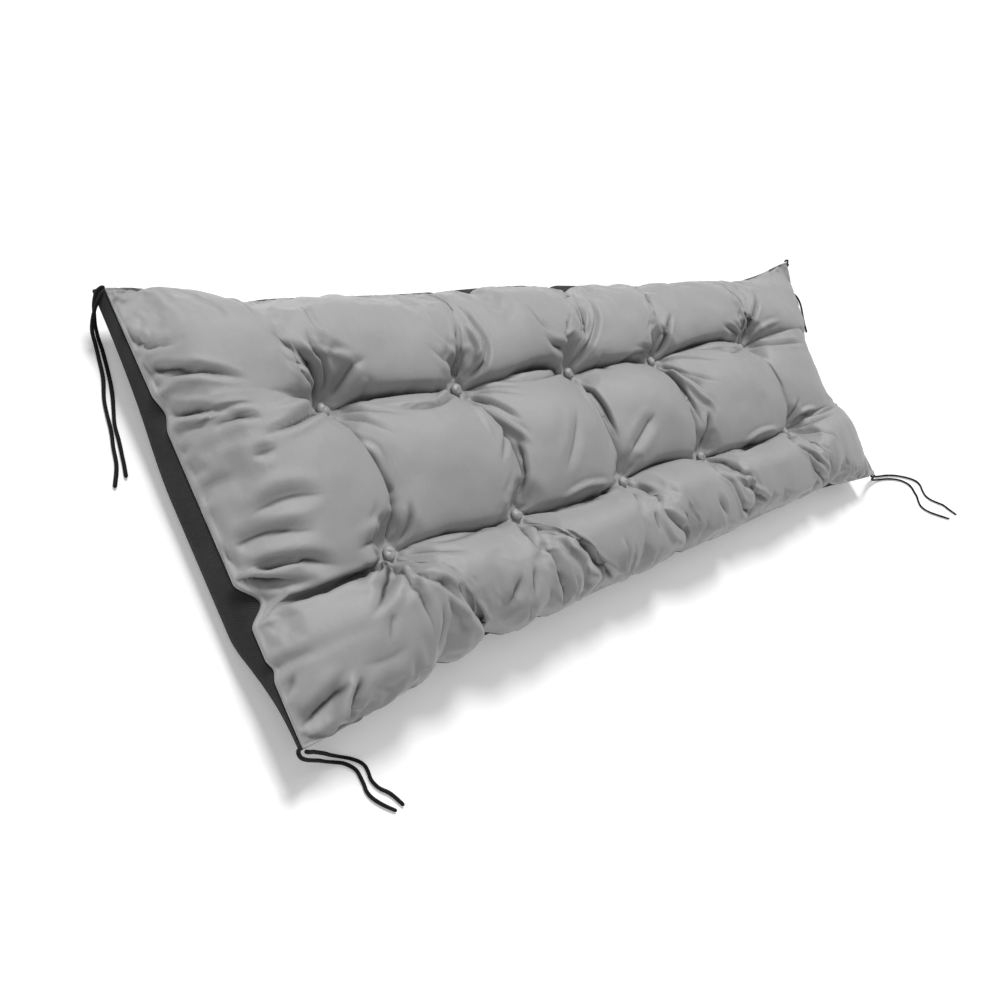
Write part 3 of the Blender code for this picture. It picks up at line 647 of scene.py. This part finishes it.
def overhang(low_side, high_side, puff, step, last):
    """How far the outer halves of the outer puffs stand out past the seam, along one direction."""
    low = np.where((puff == 0) & (step < 0.5), FACE_OVERHANG[low_side] * np.sin(TURN * step), 0.0)
    high = np.where((puff == last) & (step > 0.5), FACE_OVERHANG[high_side] * np.sin(TURN * (1.0 - step)), 0.0)
    return high - low


def face_sheet(every=1):
    """The face before its folds: its points, and their flat places on the cloth."""
    px, step_x, share_x = (line[None, ::every] for line in mesh_lines(COLUMN_STEPS))
    py, step_y, share_y = (line[::every, None] for line in mesh_lines(ROW_STEPS))
    swell_x = swell(step_x, np.where(px == 0, RIM_POWER, LEFT_POWER), RIGHT_POWERS[py, px])
    swell_y = swell(step_y, LOW_POWERS[py, px], HIGH_POWERS[py, px])
    # the left end of the upper valley is hardly drawn in: the puffs run on over it
    at_end = (px == 0) & (py == LAST_Y) & (step_y < 0.5)
    swell_y = swell_y ** np.where(at_end, 1.0 + RUN_ON * (1.0 - share_x ** 3), 1.0)
    x, y = plan_places(px, share_x, py, share_y)
    plan = np.stack([x, y], axis=-1)
    height = puff_height(px, share_x, swell_x, py, share_y, swell_y)
    clear = smooth_step((button_distance(x, y) - DIMPLE_START) / DIMPLE_BLEND) ** DIMPLE_POWER
    height = blend(SEAT_HEIGHT, height, clear)
    x = x + overhang("left", "right", px, step_x, LAST_X) * swell_y
    y = y + overhang("bottom", "top", py, step_y, LAST_Y) * swell_x
    return np.stack([x, y, SEAM_HEIGHT + SEAM_LIP + height + curl(x, y)], axis=-1), plan


def grid_quads(rows, columns):
    """The numbers of a grid's points, and the corners of its faces."""
    index = np.arange(rows * columns).reshape(rows, columns)
    quads = np.stack([index[:-1, :-1], index[:-1, 1:], index[1:, 1:], index[1:, :-1]], axis=-1)
    return index, quads.reshape(-1, 4).tolist()


def settle(points, plan):
    """The face as its filling pushes it out: cut a little full, held at the seam and at the buttons."""
    rows, columns = points.shape[:2]
    sheet = bpy.data.meshes.new("sheet")
    sheet.from_pydata(points.reshape(-1, 3).tolist(), [], grid_quads(rows, columns)[1])
    cloth = link(bpy.data.objects.new("settling", sheet))
    held = button_distance(plan[..., 0], plan[..., 1]) < BUTTON_RADIUS + 0.002
    held[0], held[-1], held[:, 0], held[:, -1] = True, True, True, True
    cloth.vertex_groups.new(name="held").add(np.flatnonzero(held).tolist(), 1.0, "REPLACE")
    modifier = cloth.modifiers.new("settling", "CLOTH")
    modifier.point_cache.frame_start = 1
    modifier.point_cache.frame_end = SETTLE_FRAMES
    modifier.settings.vertex_group_mass = "held"
    modifier.settings.effector_weights.gravity = 0.0
    for name, value in CLOTH_CUT.items():
        setattr(modifier.settings, name, value)
    modifier.collision_settings.use_collision = False
    for number in range(1, SETTLE_FRAMES + 1):
        bpy.context.scene.frame_set(number)
    settled = cloth.evaluated_get(bpy.context.evaluated_depsgraph_get()).to_mesh()
    places = np.empty(rows * columns * 3, np.float32)
    settled.vertices.foreach_get("co", places)
    bpy.data.objects.remove(cloth)
    bpy.context.scene.frame_set(1)
    move = places.reshape(rows, columns, 3) - points
    far = np.linalg.norm(move, axis=-1, keepdims=True)
    return points + move * np.minimum(1.0, MOST_MOVE / np.maximum(far, 1e-9))


def twice_as_fine(values):
    """The grid with a smooth point between each two, along both ways."""
    for axis in (0, 1):
        v = np.moveaxis(values, axis, 0)
        before = np.concatenate([2 * v[:1] - v[1:2], v[:-2]])
        after = np.concatenate([v[2:], 2 * v[-1:] - v[-2:-1]])
        out = np.empty((2 * len(v) - 1,) + v.shape[1:])
        out[::2], out[1::2] = v, (9.0 * (v[:-1] + v[1:]) - before - after) / 16.0
        values = np.moveaxis(out, 0, axis)
    return values


# ---- grey face: folds ----
def grid_normals(points):
    normal = np.cross(np.gradient(points, axis=1), np.gradient(points, axis=0))
    return normal / np.maximum(np.linalg.norm(normal, axis=-1, keepdims=True), 1e-12)


def fold_measure(plan, line, reach):
    """For the points near a fold: their indices, how far along it, and how far to its left."""
    flat = plan.reshape(-1, 2)
    near = np.flatnonzero(((flat > line.min(0) - reach) & (flat < line.max(0) + reach)).all(axis=1))
    spot = flat[near]
    best, along, left = np.full(len(near), 1e9), np.zeros(len(near)), np.zeros(len(near))
    before = distance_along(line)
    for start, end, passed in zip(line, line[1:], before):
        length = np.linalg.norm(end - start)
        ahead = (end - start) / length
        run = np.clip((spot - start) @ ahead, 0.0, length)
        off = spot - (start + run[:, None] * ahead)
        distance = np.linalg.norm(off, axis=1)
        closer = distance < best
        best = np.where(closer, distance, best)
        along = np.where(closer, (passed + run) / before[-1], along)
        left = np.where(closer, np.sign(ahead[0] * off[:, 1] - ahead[1] * off[:, 0]), left)
    return near, along, best * left


def fold_shape(left, rise, step):
    """A fold's section: full on its line with a shallow opposite swell at each side, or a step down."""
    sharp = np.exp(-1.35 * np.abs(left) ** 1.15)
    ridge = np.where(rise > 0.0, bell(left, 1.0), sharp) - 0.28 * bell(np.abs(left) - 1.9, 0.8)
    return rise * ridge + step * np.tanh(2.4 * left) * bell(left, 1.5)


class SharpLines:
    """For each place on the cloth, the strongest sharp crease near it: how far it is, and its strength, for the
    painted crease shade and the crease bump.
    """

    REACH = 0.0045
    NONE_NEAR = 0.02

    def __init__(self, count):
        self.off = np.full(count, self.NONE_NEAR)
        self.strength = np.zeros(count)

    def add(self, near, off, strength):
        strength = strength * bell(off, self.REACH)
        stronger = strength > self.strength[near]
        self.off[near] = np.where(stronger, off, self.off[near])
        self.strength[near] = np.where(stronger, strength, self.strength[near])


def press_folds(points, plan, lines):
    """The face with every fold of the table pressed into it, fading out at the seam and the buttons."""
    normal = grid_normals(points).reshape(-1, 3)
    moved = points.reshape(-1, 3).copy()
    x, y = plan[..., 0], plan[..., 1]
    clear = smooth_step(seam_distance(x, y) / 0.010) * smooth_step((button_distance(x, y) - 0.010) / 0.016)
    for route, width, rise, fade_in, fade_out, *steps in FOLDS:
        step = sum(steps)
        near, along, left = fold_measure(plan, curve_through(route, 8), 3.0 * width * MM)
        taper = smooth_step(along / fade_in) * smooth_step((1.0 - along) / fade_out) * clear.ravel()[near]
        half = FOLD_HALF * width * (0.6 + 0.4 * np.sqrt(taper))
        moved[near] += normal[near] * (FOLD_LIFT * taper * fold_shape(left / half, rise, step))[:, None]
        sharp = min(max(-rise, abs(step) * 1.4, 0.0) / 8.0, 1.0)
        lines.add(near, left, sharp * taper)
    return moved.reshape(points.shape)


GATHER_REACH = 0.062        # the gathers round a button run out over this distance
GATHER_DEPTH = 0.0018
GATHER_COUNT = (9, 12)
GATHER_WIDTH = (0.13, 0.20)     # of a turn round the button, in radians


def gather_at_buttons(points, plan):
    """Short pleats of uneven size and spacing that run into each button from all round."""
    normal = grid_normals(points)
    dice = np.random.default_rng(11)
    for row in ROWS:
        for column in COLUMNS:
            off_x, off_y = plan[..., 0] - column, plan[..., 1] - row
            away, turn = np.hypot(off_x, off_y), np.arctan2(off_y, off_x)
            lift = np.zeros(away.shape)
            count = int(dice.integers(*GATHER_COUNT))
            for number in range(count):
                at = TURN * (number + dice.uniform(-0.3, 0.3)) / count
                reach = GATHER_REACH * dice.uniform(0.55, 1.0)
                depth = GATHER_DEPTH * dice.uniform(0.5, 1.0) * (-1.0 if number % 2 else 0.8)
                beside = np.abs((turn - at + math.pi) % TURN - math.pi)
                fade = smooth_step((away - 0.009) / 0.012) * smooth_step((reach - away) / (0.7 * reach))
                lift += depth * bell(beside, dice.uniform(*GATHER_WIDTH)) * fade
            points = points + normal * lift[..., None]
    return points


def crease_valleys(points, plan, lines):
    """A sharp crease along the bottom of each valley, where the cloth of two puffs meets."""
    x, y = plan[..., 0], plan[..., 1]
    middles = 0.5 * (X_KNOTS[:-1] + X_KNOTS[1:])
    valleys = [(y - row_valley(n, x), np.interp(x, middles, ROW_CREASES[n])) for n in range(LAST_Y)]
    between_rows = smooth_step((y - ROWS[0]) / 0.02) * smooth_step((ROWS[1] - y) / 0.02)
    valleys += [(x - column_valley(n, y), between_rows) for n in range(LAST_X)]
    clear = smooth_step((button_distance(x, y) - 0.012) / 0.02) * smooth_step(seam_distance(x, y) / 0.05)
    depth = np.zeros(x.shape)
    for off, strength in valleys:
        depth = np.maximum(depth, strength * bell(off, CREASE_WIDTH))
        lines.add(slice(None), off.ravel(), (strength * clear).ravel())
    points[..., 2] -= VALLEY_CREASE * depth * clear
    return points


def soft_unevenness(plan):
    """Slow swells and dips of the filling, under 2 mm."""
    dice = np.random.default_rng(5)
    x, y = plan[..., 0], plan[..., 1]
    lift = np.zeros(x.shape)
    for size, height in ((0.085, 0.0012), (0.042, 0.0005), (0.021, 0.0002)):
        for _ in range(9):
            turn, phase = dice.uniform(0, TURN), dice.uniform(0, TURN)
            wave = (x * math.cos(turn) + y * math.sin(turn)) / size / 1.6
            lift += height / 3.0 * np.sin(TURN * wave + phase + 0.6 * np.sin(y / size * 0.7 + phase))
    return lift


def turned_edge(from_seam):
    """The sewn edge: a thin rolled lip at the seam and the stitched groove beside it."""
    return 0.0012 * bell(from_seam - 0.0012, 0.0013) - 0.0016 * bell(from_seam - 0.0043, 0.0014)


def finished_face():
    """The finished grey face: its points, their flat places, and its sharp creases."""
    points, plan = face_sheet()
    start, plan_coarse = face_sheet(every=2)
    points = points + twice_as_fine(settle(start, plan_coarse) - start)
    from_seam = seam_distance(plan[..., 0], plan[..., 1])
    lift = soft_unevenness(plan) * smooth_step(from_seam / 0.03)
    points = points + grid_normals(points) * lift[..., None]
    lines = SharpLines(from_seam.size)
    points = crease_valleys(gather_at_buttons(points, plan), plan, lines)
    points = press_folds(points, plan, lines)
    points[..., 2] += turned_edge(from_seam)
    return points, plan, lines


# ---- cushion pieces ----
HALF_LENGTH = 0.5 * (CORNERS["bottom_right"][0] - CORNERS["bottom_left"][0])
HALF_WIDTH = 0.5 * (CORNERS["top_left"][1] - CORNERS["bottom_left"][1])
FACE_DEPTHS = (0.0, 0.3, 0.6, 0.85, 1.0)    # rings of the filling's wall, inside the black cloth
UNDER_RINGS = 18


def rim_places(rows, columns):
    """The rim's grid places in order, anticlockwise from above, and the side that each is on."""
    rim = [(0, i) for i in range(columns - 1)]
    rim += [(j, columns - 1) for j in range(rows - 1)]
    rim += [(rows - 1, i) for i in range(columns - 1, 0, -1)]
    rim += [(j, 0) for j in range(rows - 1, 0, -1)]
    j, i = np.array(rim).T
    return (j, i), np.select([j == 0, j == rows - 1, i == 0], ["bottom", "top", "left"], "right")


def profile_at(profile, depth):
    """(drop, inset, bulge) of a side profile at a depth from 0 at the seam to 1 at the base."""
    spans = len(profile) - 1
    k = min(int(depth * spans), spans - 1)
    return between(*np.array(profile)[np.clip((k - 1, k, k + 1, k + 2), 0, spans)], depth * spans - k)


def under_ring(seam, side, depth, inward=0.0, upward=0.0):
    """One ring of the underside at a depth from 0 at the seam to 1 at the base."""
    from_corners = [
        np.hypot(seam[:, 0] - x, seam[:, 1] - y) / CORNER_REACH[name] for name, (x, y) in CORNERS.items()
    ]
    full = smooth_step(np.min(from_corners, axis=0))
    pinched = np.array([profile_at(CORNER_PROFILE[name], depth) for name in CORNERS])
    mixed = blend(pinched[np.argmin(from_corners, axis=0)], profile_at(SIDE_PROFILE, depth), full[:, None])
    drop, inset, bulge = mixed.T
    outward = np.array([UNDER_BULGE[name] for name in side])
    outward = outward + np.where(side == "top", TOP_SWELL[2] * bump_at(seam[:, 0], *TOP_SWELL[:2]), 0.0)
    inset = inset - bulge * outward * full + inward
    # the cloth below the left seam's tucks isn't pulled in with them
    tucked = np.where(side == "left", tuck_pull("left", seam[:, 1]), 0.0) * smooth_step(depth / 0.3)
    x = (seam[:, 0] - tucked) * (1.0 - inset / HALF_LENGTH)
    y = seam[:, 1] * (1.0 - inset / HALF_WIDTH)
    return np.stack([x, y, seam[:, 2] * (1.0 - np.clip(drop, 0.0, 1.0)) + upward], axis=1)


def band(upper, lower):
    """The faces between two rings of points, given by their numbers."""
    return np.stack([upper, lower, np.roll(lower, -1), np.roll(upper, -1)], axis=-1).tolist()


def make_face(points, plan, lines, finish):
    """The grey face with the filling under it, closed down inside the black cloth."""
    rows, columns = points.shape[:2]
    index, faces = grid_quads(rows, columns)
    rim, side = rim_places(rows, columns)
    seam = points[rim] - (0.0, 0.0, SEAM_LIP)
    verts, uvs = [points.reshape(-1, 3)], [plan.reshape(-1, 2)]
    last = index[rim]
    for number, depth in enumerate(FACE_DEPTHS):
        verts.append(under_ring(seam, side, depth, PANEL_THICKNESS + WALL_GAP, (PANEL_THICKNESS + GAP) * depth))
        uvs.append(plan[rim])
        ring = index.size + number * len(side) + np.arange(len(side))
        faces += band(last, ring)
        last = ring
    faces.append(last[::-1].tolist())
    mesh = bpy.data.meshes.new("cushion_face")
    mesh.from_pydata(np.vstack(verts).tolist(), [], faces)
    loops = np.empty(len(mesh.loops), np.int32)
    mesh.loops.foreach_get("vertex_index", loops)
    mesh.uv_layers.new(name="cloth").uv.foreach_set("vector", np.vstack(uvs)[loops].astype(np.float32).ravel())
    # these two attributes draw the painted crease shade and the crease bump in the grey cloth's material
    marks = (("crease_off", lines.off / MM, 20.0), ("crease_strength", lines.strength, 0.0))
    for name, values, elsewhere in marks:
        everywhere = np.full(len(mesh.vertices), elsewhere, np.float32)
        everywhere[:len(values)] = values
        mesh.attributes.new(name, "FLOAT", "POINT").data.foreach_set("value", everywhere)
    mesh.validate()
    face = new_piece("cushion_face", mesh, finish)
    dress(face, "filled_face")
    return seam, side


def make_underside(seam, side, finish):
    """The black cloth: down the sides from the seam, round the lower edge and flat along the floor."""
    seam = seam - (0.0, 0.0, GAP)
    rings = np.array([under_ring(seam, side, k / UNDER_RINGS) for k in range(UNDER_RINGS + 1)])
    index = np.arange(rings.shape[0] * rings.shape[1]).reshape(rings.shape[:2])
    faces = [face for upper, lower in zip(index, index[1:]) for face in band(upper, lower)]
    faces.append(index[-1, ::-1].tolist())
    along = distance_along(seam)
    after = np.append(along[1:], along[-1] + 0.003)
    down = np.append(0.0, np.cumsum(np.linalg.norm(np.diff(rings, axis=0), axis=2).mean(axis=1)))
    uv = np.empty((UNDER_RINGS, len(seam), 4, 2))
    uv[..., :2, 0], uv[..., 2:, 0] = along[:, None], after[:, None]
    uv[..., ::3, 1], uv[..., 1:3, 1] = down[:-1, None, None], down[1:, None, None]
    uv = np.vstack([uv.reshape(-1, 2), rings[-1, ::-1, :2]])
    mesh = bpy.data.meshes.new("cushion_underside")
    mesh.from_pydata(rings.reshape(-1, 3).tolist(), [], faces)
    mesh.uv_layers.new(name="cloth").uv.foreach_set("vector", uv.astype(np.float32).ravel())
    under = new_piece("cushion_underside", mesh, finish)
    wall = under.modifiers.new("cloth thickness", "SOLIDIFY")
    wall.thickness = PANEL_THICKNESS
    wall.offset = -1.0
    wall.use_even_offset = False
    deselect_all()
    under.select_set(True)
    bpy.context.view_layer.objects.active = under
    bpy.ops.object.modifier_apply(modifier=wall.name)
    dress(under, "underside_panel")


# ---- buttons ----
BUTTON_DENTS = 5
DENT_DEPTH = (0.06, 0.15)   # as a share of the radius
BUTTON_LIFT = 0.003         # the dome's widest ring stands this far above its seat


def make_buttons(finish):
    """Ten covered buttons, modelled once and copied, each pulled a little out of round."""
    deselect_all()
    bpy.ops.mesh.primitive_uv_sphere_add(segments=28, ring_count=18, radius=1.0)
    model = bpy.context.object
    for vert in model.data.vertices:    # fuller above than a ball, and nearly flat below
        vert.co.z = vert.co.z ** 0.8 if vert.co.z > 0.0 else vert.co.z * 0.35
    for row_name, y in zip(("bottom", "top"), ROWS):
        for number, x in enumerate(COLUMNS, start=1):
            name = f"button_{row_name}_{number}"
            button = link(model.copy())
            button.data = model.data.copy()
            button.name = name + "_piece"
            dice = np.random.default_rng(10 * number + (row_name == "top"))
            dents = [(dice.uniform(0, TURN), dice.uniform(*DENT_DEPTH)) for _ in range(BUTTON_DENTS)]
            seat = SEAM_HEIGHT + SEAM_LIP + SEAT_HEIGHT + float(curl(x, y)) + GAP
            for vert in button.data.vertices:
                turn = math.atan2(vert.co.y, vert.co.x)
                dent = sum(depth * max(math.cos(turn - at), 0.0) ** 6 for at, depth in dents)
                vert.co = Vector((
                    x + vert.co.x * BUTTON_RADIUS * (1.0 - dent),
                    y + vert.co.y * BUTTON_RADIUS * (1.0 - dent),
                    seat + BUTTON_LIFT + vert.co.z * BUTTON_HEIGHT * (1.0 - 1.6 * dent),
                ))
            button.data.shade_smooth()
            button.data.materials.clear()
            button.data.materials.append(finish)
            dress(button, name)
    bpy.data.objects.remove(model)


# ---- materials ----
class Value:
    """A number on a shader socket, which sums can be written with."""

    def __init__(self, paint, socket):
        self.paint = paint
        self.socket = socket

    def math(self, operation, *others, turned=False):
        values = (*others, self) if turned else (self, *others)
        return self.paint.node("ShaderNodeMath", {"operation": operation}, dict(enumerate(values)))

    def __add__(self, other):
        return self.math("ADD", other)

    __radd__ = __add__

    def __sub__(self, other):
        return self.math("SUBTRACT", other)

    def __rsub__(self, other):
        return self.math("SUBTRACT", other, turned=True)

    def __mul__(self, other):
        return self.math("MULTIPLY", other)

    __rmul__ = __mul__

    def sine(self):
        return self.math("SINE")

    def exponent(self):
        return self.math("EXPONENT")

    def clipped(self):
        return self.paint.node("ShaderNodeMath", {"operation": "ADD", "use_clamp": True}, {0: self, 1: 0.0})


class Paint:
    """A material under construction."""

    def __init__(self, name):
        self.material = bpy.data.materials.new(name)
        self.material.use_nodes = True
        self.tree = self.material.node_tree
        self.shader = self.tree.nodes["Principled BSDF"]

    def node(self, kind, settings=None, sockets=None, out=0):
        made = self.tree.nodes.new(kind)
        for key, value in (settings or {}).items():
            setattr(made, key, value)
        for key, value in (sockets or {}).items():
            self.feed(made.inputs[key], value)
        return Value(self, made.outputs[out])

    def feed(self, socket, value):
        if isinstance(value, Value):
            self.tree.links.new(value.socket, socket)
        else:
            socket.default_value = value

    def cloth_place(self, across=1.0, along=1.0):
        """The piece's own cloth coordinates, in metres times the scales."""
        place = self.node("ShaderNodeUVMap", {"uv_map": "cloth"})
        return self.node("ShaderNodeMapping", {}, {"Vector": place, "Scale": (across, along, 1.0)})

    def cloth_axes(self):
        place = self.cloth_place()
        return [self.node("ShaderNodeSeparateXYZ", {}, {0: place}, out=axis) for axis in (0, 1)]

    def noise(self, place, scale, detail, roughness=0.5):
        return self.node(
            "ShaderNodeTexNoise", {}, {"Vector": place, "Scale": scale, "Detail": detail, "Roughness": roughness})

    def threads(self, across, along, detail=2.0, roughness=0.5):
        """Noise laid along the cloth, with so many changes a metre each way."""
        return self.noise(self.cloth_place(across, along), 1.0, detail, roughness)

    def patches(self, scale, detail, roughness=0.5):
        """Noise over the whole object."""
        return self.noise(self.node("ShaderNodeTexCoord", out=3), scale, detail, roughness)

    def mix(self, share, first, second):
        return self.node("ShaderNodeMix", {"data_type": "RGBA"}, {0: share, 6: first, 7: second}, out=2)

    def attribute(self, name):
        return self.node("ShaderNodeAttribute", {"attribute_name": name}, out=2)

    def bump(self, height, distance, strength, under=None):
        sockets = {"Height": height, "Distance": distance, "Strength": strength}
        if under is not None:
            sockets["Normal"] = under
        return self.node("ShaderNodeBump", {}, sockets)

    def finished(self, looks):
        """The material, with these looks set on its shader or fed to it."""
        for name, value in looks.items():
            self.feed(self.shader.inputs[name], value)
        return self.material


def grey(level):
    return (level, level, level, 1.0)


def grey_weave():
    """Smooth woven polyester: a fine plain weave, faint slubs, a soft satin shine, and a painted shade line along
    each sharp crease.
    """
    paint = Paint("grey_weave")
    pitch = 0.0009
    u, v = paint.cloth_axes()
    weave = (u * (TURN / pitch)).sine() * (v * (TURN / pitch)).sine()
    slubs, slubs_down = paint.threads(30.0, 900.0), paint.threads(900.0, 30.0)
    patches = paint.patches(9.0, 3.0)
    tone = 0.5 + (patches - 0.5) * 0.5 + (slubs - 0.5) * 0.35 + (slubs_down - 0.5) * 0.25 + weave * 0.05
    colour = paint.mix(tone.clipped(), grey(0.285), grey(0.365))
    # the sharp creases: painted shade, a thin near-black line along each, which is also pressed in a little as a
    # bump
    off, strength = paint.attribute("crease_off"), paint.attribute("crease_strength")
    line = (off * off * -0.22).exponent() * strength
    colour = paint.mix((line * 1.25).clipped(), colour, grey(0.04))
    creases = paint.threads(60.0, 24.0, 3.0, 0.55)
    normal = paint.bump(creases - line * 0.9, 0.0016, 0.6)
    normal = paint.bump(weave + (slubs + slubs_down) * 0.8, 0.00012, 0.5, normal)
    return paint.finished({
        "Base Color": colour, "Roughness": 0.37 + patches * 0.12, "Normal": normal,
        "Specular IOR Level": 0.45, "Sheen Weight": 0.15, "Sheen Roughness": 0.5,
    })


def black_twill():
    """Matt black ribbed cloth: diagonal ribs about 2 mm apart, and a few pale specks in it."""
    paint = Paint("black_twill")
    u, v = paint.cloth_axes()
    ribs = ((u + v * 0.8) * (TURN / 0.0021)).sine()
    across = ((u * 0.6 - v) * (TURN / 0.0013)).sine()
    worn = paint.patches(14.0, 4.0, 0.6)
    specks = paint.threads(700.0, 700.0, 1.0)
    tone = 0.35 + ribs * 0.16 + across * 0.10 + (worn - 0.5) * 0.9 + ((specks - 0.60) * 4.0).clipped() * 0.5
    return paint.finished({
        "Base Color": paint.mix(tone.clipped(), grey(0.012), grey(0.060)), "Roughness": 0.72 + worn * 0.2,
        "Normal": paint.bump(ribs + across * 0.6 + specks * 0.6, 0.0004, 0.7), "Specular IOR Level": 0.3,
    })


def black_cord():
    """Matt black cord with the fine slant of its twisted strands."""
    paint = Paint("black_cord")
    u, v = paint.cloth_axes()
    strands = ((u * 6.0 + v * (6.0 / TIE_LAY)) * TURN).sine()
    fuzz = paint.patches(900.0, 2.0)
    tone = 0.4 + strands * 0.25 + (fuzz - 0.5) * 0.6
    return paint.finished({
        "Base Color": paint.mix(tone.clipped(), grey(0.004), grey(0.020)), "Roughness": 0.85,
        "Normal": paint.bump(strands + fuzz, 0.0003, 0.8), "Specular IOR Level": 0.25,
    })


def pale_floor():
    """A white studio floor that glows a little, so that its shadows stay pale."""
    return Paint("pale_floor").finished({
        "Base Color": grey(0.90), "Roughness": 0.9, "Specular IOR Level": 0.1,
        "Emission Color": grey(1.0), "Emission Strength": 0.22,
    })


# ---- studio ----
def sun(name, toward, spread, strength):
    """Even soft light from far away."""
    light = bpy.data.lights.new(name, "SUN")
    light.angle = math.radians(spread)
    light.energy = strength
    obj = link(bpy.data.objects.new(name, light))
    obj.location = (0.0, 1.0, 1.5)
    obj.rotation_euler = Vector(toward).to_track_quat("-Z", "Y").to_euler()


def studio():
    deselect_all()
    bpy.ops.mesh.primitive_plane_add(size=60.0)
    floor = bpy.context.object
    floor.name = "floor"
    floor.data.materials.append(pale_floor())
    world = bpy.data.worlds.new("studio")
    world.use_nodes = True
    sky = world.node_tree.nodes["Background"]
    sky.inputs["Color"].default_value = grey(1.0)
    sky.inputs["Strength"].default_value = 0.20
    bpy.context.scene.world = world
    sun("window", toward=(-0.10, -0.60, -0.79), spread=20.0, strength=2.60)
    sun("second window", toward=(0.62, 0.05, -0.78), spread=50.0, strength=0.60)
    sun("third window", toward=(-0.75, -0.25, -0.60), spread=40.0, strength=0.35)
    bpy.context.scene.view_settings.view_transform = "Standard"


# ---- making ----
place_camera()
cord_finish = black_cord()
for number, (name, route) in enumerate(TIE_ROUTES.items()):
    make_tie(name, route, cord_finish, seed=number)
cloth_finish = grey_weave()
points, plan, lines = finished_face()
seam, side = make_face(points, plan, lines, cloth_finish)
make_underside(seam, side, black_twill())
make_buttons(cloth_finish)
studio()
